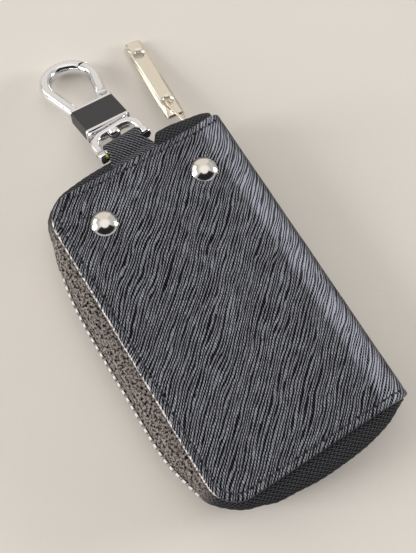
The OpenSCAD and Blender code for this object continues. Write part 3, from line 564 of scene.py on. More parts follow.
def fold_point(s, y, depth):
    """Place of a point s round the cover from the front's open edge, at y, depth under its face"""
    c = sizes()
    r, half_w, half_l = c.spine_r, c.body_w / 2, c.body_l / 2
    flat, quarter, web = c.body_w - r, math.pi * r / 2, c.body_t - 2 * r
    turn = (np.clip((s - flat) / r, 0, math.pi / 2)
            + np.clip((s - flat - quarter - web) / r, 0, math.pi / 2))
    centre_x = np.minimum(s, flat) - half_w - np.maximum(s - flat - 2 * quarter - web, 0)
    centre_z = c.body_t - r - np.clip(s - flat - quarter, 0, web)
    reach = (centre_x + r * np.sin(turn) - half_w + c.flare_w) / c.flare_w
    flare = np.where(y > 0, c.flare_top, -c.flare_foot) * np.clip(reach, 0, 1) ** 2
    return np.stack([centre_x + (r - depth) * np.sin(turn),
                     y + flare * smoothstep(np.abs(y), half_l / 2, half_l),
                     centre_z + (r - depth) * np.cos(turn)], -1)


def cover_length():
    c = sizes()
    return 2 * (c.body_w - c.spine_r) + math.pi * c.spine_r + c.body_t - 2 * c.spine_r


def sheet_ring(along, across, r, inset, turns=12):
    """One ring of a rounded rectangle, inset from its edge"""
    s0, s1, y0, y1 = along[0], along[-1], across[0], across[-1]
    r = max(r - inset, 0)
    corners = []
    for cs, cy, start in ((s1, y1, 0), (s0, y1, 90), (s0, y0, 180), (s1, y0, 270)):
        a = np.radians(start + 90 * np.arange(turns + 1) / turns)
        corners.append(np.stack([cs + r * np.cos(a), cy + r * np.sin(a)], -1))
    top = np.stack([along[::-1], np.full(len(along), y1 + r)], -1)[1:-1]
    left = np.stack([np.full(len(across), s0 - r), across[::-1]], -1)[1:-1]
    foot = np.stack([along, np.full(len(along), y0 - r)], -1)[1:-1]
    right = np.stack([np.full(len(across), s1 + r), across], -1)[1:-1]
    return np.concatenate([corners[0], top, corners[1], left, corners[2], foot, corners[3], right])


def folded_sheet(shell, inset, r, step, profile, relief):
    """A sheet folded round the spine: profile is a list of (distance in from the edge, depth)"""
    c = sizes()
    total, half_l = cover_length(), c.body_l / 2
    fold = (c.body_w - c.spine_r, total - c.body_w + c.spine_r)
    start = inset + r
    flat_steps = max(4, round((fold[0] - start) / step))
    along = np.concatenate([np.linspace(start, fold[0], flat_steps, endpoint=False),
                            np.linspace(fold[0], fold[1], FOLD_STEPS, endpoint=False),
                            np.linspace(fold[1], total - start, flat_steps + 1)])
    across = np.linspace(-half_l + start, half_l - start, round((c.body_l - 2 * start) / step) + 1)
    rings = [sheet_ring(along, across, r, d) for d, depth in profile]
    count = len(rings[0])
    flat = np.concatenate(rings)
    d, depth = (np.repeat(values, count) for values in zip(*profile))
    s, y = (grid.ravel() for grid in np.meshgrid(along, across, indexing="ij"))
    from_edge = np.minimum(np.minimum(s, total - s), half_l - np.abs(y)) - inset
    for last in (0, -1):
        flat = np.concatenate([flat, np.stack([s, y], -1)])
        d = np.concatenate([d, from_edge])
        depth = np.concatenate([depth, np.full(len(s), profile[last][1])])
    faces = loft_faces(len(rings), count, caps=False)
    for k in range(2):
        faces += grid_faces(len(along), len(across), len(rings) * count + k * len(s))
    outer = depth < 0.5 * (profile[0][1] + profile[-1][1])
    depth = depth - np.where(outer, relief(flat[:, 0], flat[:, 1], d), 0)
    shell.add(fold_point(flat[:, 0], flat[:, 1], depth), faces,
              np.stack([flat[:, 0], flat[:, 1], d], -1))


def cover_relief(s, y, d):
    """How far the cover's face stands off its flat: swollen between the seams, drawn in at the rivets"""
    c = sizes()
    flat, total = c.body_w - c.spine_r, cover_length()
    off_fold = np.maximum(flat - s, s - total + flat)
    swell = c.puff * smoothstep(d, c.stitch_in, 0.011) * smoothstep(off_fold, 0, 0.014)
    wave = WAVE * np.sin(s * 160 + 2 * np.sin(y * 75)) * np.sin(y * 110 + s * 60)
    out = swell + wave * smoothstep(d, 0.003, 0.009)
    for x, at_y in RIVETS:
        away = np.hypot(s - c.body_w / 2 - x, y - at_y)
        out = out * smoothstep(away, *RIVET_FLAT)
        out -= DENT * (1 - smoothstep(away, *RIVET_DENT)) * (s < flat)
    return out


class KEYCASE_OT_cover(bpy.types.Operator):
    """Folds the leather cover round the spine"""

    bl_idname = "keycase.cover"
    bl_label = "Leather cover"

    def execute(self, context):
        c = sizes()
        groove, t = c.stitch_in, c.leather_t
        profile = [(c.corner_r, t), (6 * MM, t), (2 * MM, t), (0.35 * MM, t), (0.1 * MM, t - 0.06 * MM),
                   (0, t - 0.3 * MM), (0, 0.85 * MM), (0.02 * MM, 0.55 * MM), (0.16 * MM, 0.25 * MM),
                   (0.42 * MM, 0.07 * MM), (0.8 * MM, 0), (groove - 0.9 * MM, 0),
                   (groove - 0.42 * MM, 0.05 * MM), (groove, 0.16 * MM),
                   (groove + 0.42 * MM, 0.05 * MM), (groove + 0.9 * MM, 0), (4.6 * MM, 0),
                   (6.2 * MM, 0), (8 * MM, 0), (c.corner_r, 0)]
        shell = Shell()
        folded_sheet(shell, 0, c.corner_r, 1.5 * MM, profile, cover_relief)
        obj = shell.piece("leather_cover", "leather", leather_finish, "leather", levels=1)
        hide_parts("back_leather", "front_leather")
        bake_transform(obj)
        return {"FINISHED"}


class KEYCASE_OT_stitches(bpy.types.Operator):
    """Sews the edge of each half"""

    bl_idname = "keycase.stitches"
    bl_label = "Stitches"

    def execute(self, context):
        c = sizes()
        total, half_l = cover_length(), c.body_l / 2
        r = c.corner_r - c.stitch_in
        run = c.body_w - c.spine_r - c.corner_r + SEAM_OVERRUN
        side = c.body_l - 2 * c.corner_r
        arc = math.pi * r / 2
        route = 2 * run + 2 * arc + side

        def seam(u):
            """Place and heading of the seam, u along it, on the front"""
            a = np.clip((u - run) / r, 0, math.pi / 2)
            b = np.clip((u - run - arc - side) / r, 0, math.pi / 2)
            turn = a + b
            s = (c.corner_r + run - np.clip(u, 0, run) - r * np.sin(turn)
                 + np.clip(u - run - 2 * arc - side, 0, run))
            y = (half_l - c.corner_r - np.clip(u - run - arc, 0, side) + r * np.cos(turn))
            return s, y, turn

        count = round(route / c.stitch_pitch)
        pitch = route / count
        t = np.linspace(-1, 1, 7)[:, None]
        girth = c.thread_d / 2 * np.sqrt(np.clip(1.02 - t ** 4, 0.02, 1))
        a = round_angles(8)
        off = girth * np.cos(a) + STITCH_LEAN * t
        low = STITCH_SUNK + STITCH_DIVE * t ** 2 - girth * np.sin(a)
        b = round_angles(10)
        for half, name in ((0, "front"), (1, "back")):
            thread, holes = Shell(), Shell()
            for k in range(count):
                s, y, turn = seam((k + 0.5) * pitch + t * pitch * STITCH_REACH)
                ps, py = s - np.sin(turn) * off, y + np.cos(turn) * off
                if half:
                    ps = total - ps
                thread.loft(fold_point(ps, py, low), np.stack([ps, py, low], -1))
            for k in range(count + 1):
                s, y, turn = seam(np.array([k * pitch]))
                rings = []
                for size, deep in NEEDLE_HOLE:
                    ps, py = s + size * MM * np.cos(b), y + size * MM * np.sin(b)
                    rings.append(fold_point(total - ps if half else ps, py, np.full(len(b), deep * MM)))
                holes.loft(rings)
            body = name + "_half"
            obj = thread.piece(name + "_stitches", "sewing thread", thread_finish, "leather")
            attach(obj, body)
            obj = holes.piece(name + "_needle_holes", "needle hole", needle_hole_finish, "leather")
            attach(obj, body)
        return {"FINISHED"}


class KEYCASE_OT_lining(bpy.types.Operator):
    """Lines the case with cloth over its two boards"""

    bl_idname = "keycase.lining"
    bl_label = "Lining and boards"

    def execute(self, context):
        c = sizes()
        inset, top, t = 1.0 * MM, 2.5 * MM, 0.6 * MM
        r = c.corner_r - inset
        profile = [(r, top + t), (4 * MM, top + t), (0.5 * MM, top + t), (0.12 * MM, top + t - 0.1 * MM),
                   (0, top + t / 2), (0.12 * MM, top + 0.1 * MM), (0.5 * MM, top), (4 * MM, top),
                   (r, top)]
        shell = Shell()
        folded_sheet(shell, inset, r, 2.6 * MM, profile, lambda s, y, d: 0 * s)
        obj = shell.piece("cloth_lining", "lining cloth", lining_finish, "lining", levels=1)
        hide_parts("back_lining", "front_lining")
        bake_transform(obj)
        for node in ("back_board", "front_board"):
            dress(node, "fibre board", board_finish)
        return {"FINISHED"}


# Zip tapes

TAPE_STEPS = 330


class ZipRoute:
    """The edge of the leather that the zip follows, from the top of the fold round to its foot"""

    TOP = ((0, .455), (.2, .455), (.38, .455), (.42, .46), (.6, .64), (.72, .62), (.85, .55), (.965, .4))
    SIDE = ((0, .16), (.08, .46), (.19, .78), (.3, .91), (.44, .94), (.6, .93), (.78, .93), (.86, .87),
            (.91, .75), (.97, .54))
    FOOT = ((0, .34), (.1, .65), (.22, .77), (.36, .9), (.52, .9), (.65, .84), (.74, .73), (.83, .56),
            (.91, .38), (1, .12))
    BELLY = ((0, .18), (.09, .3), (.18, .4), (.27, .5), (.34, .5), (.372, .45), (.388, .2), (.4, 0))
    END_INSET = 2.6 * MM
    CORNER_BULGES = (.13, .14)

    def __init__(self, c):
        self.c = c
        self.half_w, self.half_l = c.body_w / 2, c.body_l / 2
        self.start_x = self.half_w - self.END_INSET
        self.corner_x, self.corner_y = c.corner_r - self.half_w, self.half_l - c.corner_r
        self.run = self.start_x - self.corner_x
        self.arc = math.pi * c.corner_r / 2
        self.side = 2 * self.corner_y
        self.length = 2 * self.run + 2 * self.arc + self.side
        first, second = self.run + self.arc, self.run + 2 * self.arc + self.side
        stations = ([(t * self.run, b) for t, b in self.TOP]
                    + [(self.run + self.arc / 2, self.CORNER_BULGES[0])]
                    + [(first + t * self.side, b) for t, b in self.SIDE]
                    + [(second - self.arc / 2, self.CORNER_BULGES[1])]
                    + [(second + t * self.run, b) for t, b in self.FOOT])
        self.u, self.b = np.array(stations).T
        ends = np.arange(len(self.u))
        after, before = np.minimum(ends + 1, len(self.u) - 1), np.maximum(ends - 1, 0)
        self.slope = (self.b[after] - self.b[before]) / (self.u[after] - self.u[before])

    def bulge(self, u):
        i = np.clip(np.searchsorted(self.u, u, side="right") - 1, 0, len(self.u) - 2)
        w = self.u[i + 1] - self.u[i]
        t = np.clip((u - self.u[i]) / w, 0, 1)
        v = 1 - t
        return self.c.zip_bulge * (self.b[i] * v * v * (1 + 2 * t) + self.b[i + 1] * t * t * (3 - 2 * t)
                                   + self.slope[i] * w * t * v * v - self.slope[i + 1] * w * t * t * v)

    def belly(self, u):
        at, share = np.array(self.BELLY).T
        return self.c.zip_bulge * np.interp(u, at * self.run, share)

    def edge(self, u):
        """Points of the leather edge and the directions out from it"""
        a = np.clip((u - self.run) / self.c.corner_r, 0, math.pi / 2)
        b = np.clip((u - self.run - self.arc - self.side) / self.c.corner_r, 0, math.pi / 2)
        turn = math.pi / 2 + a + b
        out = np.stack([np.cos(turn), np.sin(turn)], -1)
        x = (self.start_x - np.clip(u, 0, self.run)
             + np.clip(u - self.run - 2 * self.arc - self.side, 0, self.run))
        y = self.corner_y - np.clip(u - self.run - self.arc, 0, self.side)
        return np.stack([x, y], -1) + self.c.corner_r * out, out


def tape_shell(c, front):
    """One tape: flat under the leather, a quarter round bulge, then upright to the teeth"""
    route = ZipRoute(c)
    mid_z, t = c.body_t / 2, c.tape_t
    low_z, tape_edge, upright = 2.05 * MM, 1.33 * MM, 5.36 * MM
    fold_x, fold_r = c.body_w / 2 - c.spine_r, c.spine_r - c.leather_t - t / 2
    u = np.linspace(0, route.length, TAPE_STEPS)
    edge, out = route.edge(u)
    bulge, belly = route.bulge(u), route.belly(u)
    beyond = np.maximum(edge[:, 0] - fold_x, 0)
    z0 = low_z + fold_r - np.sqrt(fold_r ** 2 - beyond ** 2)
    z1 = np.maximum(upright, z0)
    a = np.radians(np.concatenate([[0, 0, 0], np.linspace(0, 90, 13), [90, 90, 90]]))
    flange = np.concatenate([[-5 * MM, -3 * MM, -1 * MM], np.zeros(13), np.zeros(3)])
    rise = np.concatenate([np.zeros(16), [0.35, 0.75, 1.0]])
    middle = edge + out * bulge[:, None]
    along = np.concatenate([[0], np.cumsum(np.linalg.norm(np.diff(middle, axis=0), axis=1))])
    pucker = 0.07 * MM * np.sin(2 * math.pi * along / (2.7 * MM))[:, None] * np.sin(a) ** 2
    # The tape hides the teeth at the top corner and the foot, and draws back from them on the open side
    side = u - route.run - route.arc
    lean = 0.9 * MM * smoothstep(side, -12 * MM, -5 * MM) - 1.9 * MM * smoothstep(side, 9 * MM, 16 * MM)
    lean += MM * (1.9 * smoothstep(side - route.side, -3 * MM, 4 * MM)
                  - 0.9 * smoothstep(u, route.length - 9 * MM, route.length - 2 * MM))
    pucker = pucker + lean[:, None] * smoothstep(a, 0.3, math.pi / 2) * (1 - rise)
    n = bulge[:, None] * np.sin(a) + belly[:, None] * np.sin(2 * a) + flange + pucker * (flange == 0)
    z = z0[:, None] + (z1 - z0)[:, None] * (1 - np.cos(a)) + rise * (mid_z - tape_edge - z1)[:, None]
    lap = np.concatenate([np.arange(len(a)), np.arange(len(a))[::-1]])
    sign = np.concatenate([np.ones(len(a)), -np.ones(len(a))])
    n = n[:, lap] + sign * t / 2 * np.sin(a[lap])
    z = z[:, lap] - sign * t / 2 * np.cos(a[lap])
    if front:
        z = c.body_t - z
    rings = np.stack([edge[:, 0, None] + out[:, 0, None] * n, edge[:, 1, None] + out[:, 1, None] * n, z],
                     -1)
    step = np.linalg.norm(np.diff(rings[:, :len(a)], axis=1), axis=2)
    reach = np.concatenate([np.zeros((len(u), 1)), np.cumsum(step, axis=1)], axis=1)[:, lap]
    sheet = np.stack([np.repeat(along[:, None], len(lap), 1), reach, np.zeros_like(reach)], -1)
    shell = Shell()
    shell.loft(rings, sheet)
    return shell


class KEYCASE_OT_tapes(bpy.types.Operator):
    """Rolls the two zip tapes out from under the leather"""

    bl_idname = "keycase.tapes"
    bl_label = "Zip tapes"

    def execute(self, context):
        c = sizes()
        for name in ("front", "back"):
            shell = tape_shell(c, name == "front")
            obj = shell.piece(name + "_zip_tape", "zip tape", tape_finish, "tape")
            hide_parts(name + "_tape")
            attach(obj, name + "_half")
        return {"FINISHED"}


class KEYCASE_OT_teeth(bpy.types.Operator):
    """Finishes the teeth, the stops and the slider"""

    bl_idname = "keycase.teeth"
    bl_label = "Teeth and slider"

    def execute(self, context):
        c = colours()
        for node in ("front_teeth_top", "front_teeth_round", "front_teeth_foot", "back_top_stop",
                     "front_top_stop", "bottom_stop"):
            dress(node, "zip teeth", metal_finish((1.0, 1.0, 0.99), 0.42, 0.05))
        # The back rows get a darker copy of the teeth finish: painted shade on the lower row
        for node in ("back_teeth_top", "back_teeth_round"):
            dress(node, "shaded zip teeth", metal_finish((0.55, 0.50, 0.48), 0.34, 0.3))
        dress("slider", "nickel", metal_finish(c.nickel, 0.16), 0.15 * MM)
        return {"FINISHED"}


class KEYCASE_OT_pull(bpy.types.Operator):
    """Finishes the link and the bar of the zip pull"""

    bl_idname = "keycase.pull"
    bl_label = "Zip pull"

    def execute(self, context):
        nickel = metal_finish(colours().pull, 0.14)
        dress("pull_link", "warm nickel", nickel)
        dress("pull_bar", "warm nickel", nickel, 0.12 * MM)
        return {"FINISHED"}


class KEYCASE_OT_rivets(bpy.types.Operator):
    """Finishes the rivets and the key rail with its hooks"""

    bl_idname = "keycase.rivets"
    bl_label = "Rivets and key rail"

    def execute(self, context):
        nickel = metal_finish(colours().nickel, 0.09, 0.12)
        dress("rivet_caps", "rivet nickel", nickel)
        dress("rivet_inner_caps", "rivet nickel", nickel, 0.12 * MM)
        steel = metal_finish((0.62, 0.62, 0.62), 0.28, 0.3)
        dress("key_rail", "rail steel", steel, 0.1 * MM)
        for node in NODES:
            if node == "key_rod" or node.startswith("key_hook_"):
                dress(node, "rail steel", steel)
        return {"FINISHED"}


# Strap, shackle and snap hook, in millimetres from the cross pin

PIN = np.array([0.1, 62.9, 16.2]) * MM
# Rims and core of the grip: start, end, width, thickness, and how far the ends are eased
HOOK_BLOCKS = ((8.95, 10.05, 16.8, 5.5, 0.22), (9.5, 21.0, 14.8, 3.9, 0.1), (20.25, 21.35, 16.8, 5.5, 0.22))
# Holes in the shackle for its pin, the swivel post and the lock screw: start, end and radius
BORES = (((-12, 0, 0), (12, 0, 0), 1.3), ((0, 4, 0), (0, 11, 0), 1.4), ((-8.3, 0, 1.3), (-8.3, 0, 4), 1.22))
# Rings of the dab of thread lock: height over the shackle, and share of its size
DAB = ((0, 1), (0.28, 1), (0.40, 0.8), (0.46, 0.4))
CHROME_POLISH = (0.07, 0.08)


def turned(axis, degrees):
    return np.array(Matrix.Rotation(math.radians(degrees), 3, axis))


STRAP_TURN = turned("Z", 4)
SHACKLE_TURN = STRAP_TURN @ turned("X", -16.5)
HOOK_TURN = SHACKLE_TURN @ turned("Y", 6)


def in_frame(points, turn):
    """Millimetres from the cross pin, across, along and up, to the frame of the case"""
    return np.asarray(points, float) * MM @ turn.T + PIN


class KEYCASE_OT_strap(bpy.types.Operator):
    """Wraps the strap round the cross pin, its two layers sewn in under the cover"""

    bl_idname = "keycase.strap"
    bl_label = "Strap"

    def execute(self, context):
        t = sizes().strap_t / MM
        bore = 1.35
        out_r = bore + t
        outer = [(-12.6, 3.0), (-10, 3.0), (-7.9, 3.0), (-7.2, 2.9), (-6.5, 2.45), (-5.9, 1.98),
                 (-5.4, 1.88), (-4.8, 2.12), (-4.0, 2.42), (-2.9, 2.66), (-1.5, 2.75)]
        outer += [(out_r * math.sin(math.radians(a)), out_r * math.cos(math.radians(a)))
                  for a in range(0, 237, 12)]
        outer += [(-2.75, -0.75), (-3.2, 0.05), (-3.7, 0.62), (-4.4, 1.1), (-5.2, 1.36), (-6.1, 1.62),
                  (-7.4, 1.98), (-10, 2.0), (-12.6, 2.0)]
        outer = np.array(outer)
        last = len(outer) - 1
        thick = np.interp(np.arange(last + 1), [0, 3, 5, 6, 8, 11, last - 8, last - 5, last - 3, last],
                          [0.49, 0.49, 0.24, 0.24, 0.7, t, t, 0.5, 0.24, 0.49])
        heading = np.gradient(outer, axis=0)
        heading /= np.linalg.norm(heading, axis=1)[:, None]
        inward = np.stack([heading[:, 1], -heading[:, 0]], -1)
        half = np.interp(outer[:, 0], [-12.6, -5.6, -2.2, 3], [8.7, 8.2, 6.6, 6.6])
        travelled = np.concatenate([[0], np.cumsum(np.linalg.norm(np.diff(outer, axis=0), axis=1))])
        rings, sheet = [], []
        for (v, w), step, (iv, iw), wide, at in zip(outer, thick, inward, half, travelled):
            r = 0.32 * step
            section = [(-wide + r * 0.1, r), (-wide + r * 0.35, r * 0.35), (-wide + r, 0)]
            section += [(x * (wide - r), 0) for x in (-0.8, -0.4, 0, 0.4, 0.8)]
            section += [(wide - r, 0), (wide - r * 0.35, r * 0.35), (wide - r * 0.1, r)]
            section += [(-x, step - d) for x, d in section]
            rings.append([(x, v + iv * d, w + iw * d) for x, d in section])
            sheet.append([(x * MM, at * MM, 0) for x, d in section])
        shell = Shell()
        shell.loft(in_frame(rings, STRAP_TURN), sheet)
        obj = shell.piece("strap_loop", "strap leather", strap_finish, "leather", levels=1)
        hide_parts("strap")
        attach(obj, "front_half")
        return {"FINISHED"}


def softened(start, end, edge):
    """Places between two ends, with how far the outline is drawn in at each to ease the edges"""
    return ((start, edge), (start + edge * 0.3, edge * 0.3), (start + edge, 0), (end - edge, 0),
            (end - edge * 0.3, edge * 0.3), (end, edge))


def pillow(shell, v0, v1, w, t, edge, r=0.8):
    """Block with rounded corners and softened ends, between v0 and v1 along the hook"""
    rings = []
    for v, inset in softened(v0, v1, edge):
        ring = []
        for cx, cy, start in ((1, 1, 0), (-1, 1, 90), (-1, -1, 180), (1, -1, 270)):
            for a in np.radians(start + np.linspace(0, 90, 7)):
                ring.append((cx * (w / 2 - r) + (r - inset) * math.cos(a), v,
                             cy * (t / 2 - r) + (r - inset) * math.sin(a)))
        rings.append(ring)
    shell.loft(in_frame(rings, HOOK_TURN))


class RingShape:
    """Line and thickness of the ring of the snap hook"""

    radius, centre_v, limb_d, nose_d, thick, span = 9.0, 35.9, 4.4, 4.2, 5.0, 12.0
    block_end, cut_angle, cut_gap = 21.35, 33, 0.7
    pivot, lug_r = (6.0, 23.25), 1.95
    squareness = 0.88

    def __init__(self):
        self.taper = math.degrees(math.asin((self.radius - self.span / 2)
                                            / (self.centre_v - self.block_end)))
        self.cut_v = self.centre_v + (self.radius - self.limb_d / 4) * math.sin(
            math.radians(self.cut_angle))

    def at(self, a):
        return np.array([self.radius * math.cos(a), self.centre_v + self.radius * math.sin(a)])

    def half(self, a):
        return self.limb_d / 2 + (self.nose_d - self.limb_d) / 2 * max(0, math.sin(a)) ** 2

    def squared(self, x):
        return math.copysign(abs(x) ** self.squareness, x)

    def section(self, p, heading, half_u, half_w, cut_at=None, sides=32):
        """Rounded square across the limb at p, or cut off level at cut_at"""
        ring = []
        for a in round_angles(sides, 0.5):
            out = half_u * self.squared(math.cos(a))
            q = np.array([p[0] + heading[1] * out, p[1] - heading[0] * out])
            if cut_at is not None:
                q = q + heading * (cut_at - q[1]) / heading[1]
            ring.append((q[0], q[1], half_w * self.squared(math.sin(a))))
        return ring

    def sweep(self, side, foot_v, first_share, stop, cut, steps):
        """Rings of the limb on one side, from foot_v to the cut"""
        foot = np.array([side * self.span / 2, foot_v])
        start = -self.taper if side > 0 else 180 + self.taper
        join = self.at(math.radians(start))
        heading = (join - foot) / np.linalg.norm(join - foot)
        rings = [self.section(foot + (join - foot) * k, heading, self.limb_d / 2,
                              self.thick / 2 * min(1, first_share + 3 * k))
                 for k in np.linspace(0, 1, 8, endpoint=False)]
        for i in range(steps + 1):
            a = math.radians(start + (stop - start) * i / steps)
            rings.append(self.section(self.at(a), side * np.array([-math.sin(a), math.cos(a)]),
                                      self.half(a), self.thick / 2, cut if i == steps else None))
        return np.array(rings)


def disc(shell, at, z0, z1, r, edge=0.12, sides=28):
    """Short round boss across the hook"""
    rings = [[(at[0] + (r - inset) * math.cos(x), at[1] + (r - inset) * math.sin(x), z)
              for x in round_angles(sides)] for z, inset in softened(z0, z1, edge)]
    shell.loft(in_frame(rings, HOOK_TURN))


class KEYCASE_OT_hook(bpy.types.Operator):
    """Casts the snap hook and its gate"""

    bl_idname = "keycase.hook"
    bl_label = "Snap hook"

    def execute(self, context):
        chrome = metal_finish(colours().chrome, *CHROME_POLISH)
        ring = RingShape()
        foot = ring.block_end - 0.55
        shell = Shell()
        for block in HOOK_BLOCKS:
            pillow(shell, *block)
        shell.loft(in_frame(ring.sweep(-1, foot, 1, ring.cut_angle, ring.cut_v + ring.cut_gap, 44),
                            HOOK_TURN))
        for z0, z1 in ((-2.2, -1.25), (1.25, 2.2)):
            disc(shell, ring.pivot, z0, z1, ring.lug_r)
            box = [[(ring.pivot[0] + x * ring.lug_r, v, z) for x, z in
                    ((-1, z0), (1, z0), (1, z1), (-1, z1))] for v in (foot, ring.pivot[1])]
            shell.loft(in_frame(box, HOOK_TURN))
        obj = shell.piece("hook_frame", "chrome", chrome, "chrome")
        sharpen(obj)
        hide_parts("hook_body")
        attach(obj, "hook")
        shell = Shell()
        shell.loft(in_frame(ring.sweep(1, ring.pivot[1], 0.46, ring.cut_angle, ring.cut_v, 12), HOOK_TURN))
        disc(shell, ring.pivot, -1.15, 1.15, 1.75)
        obj = shell.piece("hook_gate", "chrome", chrome, "chrome")
        sharpen(obj)
        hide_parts("gate")
        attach(obj, "gate_body")
        dress("grip_sleeve", "ribbed sleeve", sleeve_finish)
        dress("swivel_post", "chrome", chrome)
        dress("gate_pin", "chrome", chrome)
        dress("gate_spring", "spring steel", metal_finish((0.55, 0.55, 0.57), 0.3))
        return {"FINISHED"}


def bow_rings():
    """Rings of the shackle from the end of one leg over its crown to the end of the other"""
    half_w, inner, crown_v, reach = 9.8, 6.8, 8.8, 2.3
    outer_r, inner_r, crown_t, high = 5.4, 3.4, 2.6, 1.9
    side = []
    for v in (-2.28, -2.24, -2.1, -1.8, -1.4, -0.8, 0, 1, 2):
        end = reach * (1 - abs(v / reach) ** 4) ** 0.25
        side.append(((-half_w, v), (-inner, v), end if v < 1 else high))
    for a in np.radians(np.linspace(0, 90, 12)):
        side.append(((-half_w + outer_r * (1 - math.cos(a)), crown_v - outer_r * (1 - math.sin(a))),
                     (-inner + inner_r * (1 - math.cos(a)), crown_v - crown_t - inner_r * (1 - math.sin(a))),
                     high))
    side += [((u * 3, crown_v), (u * 3, crown_v - crown_t), high) for u in (-0.6, 0)]
    side += [((-o[0], o[1]), (-i[0], i[1]), h) for o, i, h in side[-2::-1]]
    rings = []
    for o, i, half_h in side:
        o, i = np.array(o), np.array(i)
        ring = []
        for a in round_angles(28, 0.5):
            x = math.copysign(abs(math.cos(a)) ** 0.62, math.cos(a))
            z = math.copysign(abs(math.sin(a)) ** 0.72, math.sin(a))
            ring.append((*((o + i) / 2 + (o - i) / 2 * x), half_h * z))
        rings.append(ring)
    return rings


def dab_finish(g):
    p = g.place()
    g.surface(Base_Color=g.mix(g.noise(p, 2.0), (0.95, 0.78, 0.05), (0.85, 0.62, 0.03)), Roughness=0.4)


def dab_rings():
    """Rings of the oval dab on the round of the ear, beside the lock screw"""
    out, up, across = Vector((0, -0.88, 0.47)), Vector((0, 0.47, 0.88)), Vector((1, 0, 0))
    foot = Vector((-7.35, 0, 0)) + out * 2.3
    return [[foot + out * lift + share * (across * 0.45 * math.cos(x) + up * 0.7 * math.sin(x))
             for x in round_angles(16)] for lift, share in DAB]


def bored(obj, holes, turn):
    """Cuts round holes into a piece"""
    for start, end, r in holes:
        ends = [Vector(p) for p in in_frame([start, end], turn)]
        along = (ends[1] - ends[0]).to_track_quat("Z", "Y")
        rings = [[p + along @ Vector((r * MM * math.cos(x), r * MM * math.sin(x), 0))
                  for x in round_angles(32)] for p in ends]
        mesh = bpy.data.meshes.new("bore")
        mesh.from_pydata([tuple(q) for ring in rings for q in ring], [], loft_faces(2, 32))
        tool = linked("bore", mesh)
        cut = obj.modifiers.new("bore", "BOOLEAN")
        cut.operation, cut.object, cut.solver = "DIFFERENCE", tool, "EXACT"
        done = bpy.data.meshes.new_from_object(obj.evaluated_get(bpy.context.evaluated_depsgraph_get()))
        obj.modifiers.remove(cut)
        obj.data = done
        bpy.data.objects.remove(tool)
        bpy.data.meshes.remove(mesh)


class KEYCASE_OT_shackle(bpy.types.Operator):
    """Bends the shackle, and sets its pin and its lock screw"""

    bl_idname = "keycase.shackle"
    bl_label = "Shackle"

    def execute(self, context):
        chrome = metal_finish(colours().chrome, *CHROME_POLISH)
        shell = Shell()
        shell.loft(in_frame(bow_rings(), SHACKLE_TURN))
        obj = shell.piece("shackle_bow", "chrome", chrome, "chrome")
        bored(obj, BORES, SHACKLE_TURN)
        shade_smooth(obj.data)
        sharpen(obj)
        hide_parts("shackle")
        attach(obj, "shackle_body")
        dab = Shell()
        dab.loft(in_frame(dab_rings(), SHACKLE_TURN))
        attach(dab.piece("thread_lock_dab", "thread lock", dab_finish, "sleeve"), "shackle_body")
        dress("shackle_pin", "chrome", chrome, 0.15 * MM)
        dress("lock_screw", "screw steel", metal_finish((0.70, 0.70, 0.70), 0.4))
        return {"FINISHED"}


# Stage

PHOTO_H = 553
SENSOR = 36
CAMERA_FOCAL = 700
CAMERA_PLACE = (-45.55, -36.34, 230.39)
CAMERA_AXES = ((0.8467174, -0.52757527, 0.06880389), (-0.49143679, -0.82507894, -0.2788093),
               (0.20386153, 0.20225993, -0.95787859))
TABLE_REACH, TABLE_STEPS = 3.0, 6
# Colours of the room by height, and the parts of it that shine or are dark: direction and width in degrees,
# lowest and highest, and colour
ROOM_FOOT, ROOM_WALL, ROOM_CEILING = (0.13, 0.12, 0.11), (0.62, 0.62, 0.62), (1.15, 1.10, 1.05)
ROOM_PANES = ((70, 70, 0.02, 0.80, (0.90, 0.85, 0.78)), (128, 30, 0.12, 0.52, (2.0, 1.9, 1.7)),
              (-105, 136, 0.26, 0.86, (0.02, 0.02, 0.025)))
SEEN_ROOM = (0.9, 0.9, 0.89)


class KEYCASE_OT_stage(bpy.types.Operator):
    """Lays the case on a pale table under soft lamps, and sets the camera"""

    bl_idname = "keycase.stage"
    bl_label = "Table, lamps and camera"

    def execute(self, context):
        scene = context.scene
        s = scene.key_case_stage
        scene.view_settings.view_transform = "Standard"
        xs = np.linspace(-TABLE_REACH, TABLE_REACH, TABLE_STEPS)
        points = [(x, y, CAD_BOX[0][2]) for x in xs for y in xs]
        mesh = bpy.data.meshes.new("table")
        mesh.from_pydata(points, [], grid_faces(TABLE_STEPS, TABLE_STEPS))
        mesh.materials.append(material("table top", table_finish))
        table = linked("table", mesh)
        lamps = (("right lamp", (1.40, -0.40, 0.38), s.right_power, 0.44, 0.40),
                 ("left lamp", (-1.36, 0.52, 0.54), s.left_power, 0.56, 0.80))
        for name, place, power, wide, high in lamps:
            data = bpy.data.lights.new(name, "AREA")
            data.energy, data.shape, data.size, data.size_y = power, "RECTANGLE", wide, high
            lamp = linked(name, data)
            lamp.location = place
            lamp.rotation_euler = (-Vector(place)).to_track_quat("-Z", "Y").to_euler()
        world = bpy.data.worlds.new("room")
        world.use_nodes = True
        scene.world = world
        room_light(Graph(world.node_tree), s.world)
        data = bpy.data.cameras.new("camera")
        data.sensor_width, data.lens = SENSOR, SENSOR * CAMERA_FOCAL / PHOTO_H
        data.clip_start, data.clip_end = 0.01, 10
        camera = linked("camera", data)
        right, down, ahead = (Vector(row) for row in CAMERA_AXES)
        turn = Matrix((right, -down, -ahead)).transposed()
        camera.matrix_world = Matrix.Translation(Vector(CAMERA_PLACE) * MM) @ turn.to_4x4()
        scene.camera = camera
        return {"FINISHED"}


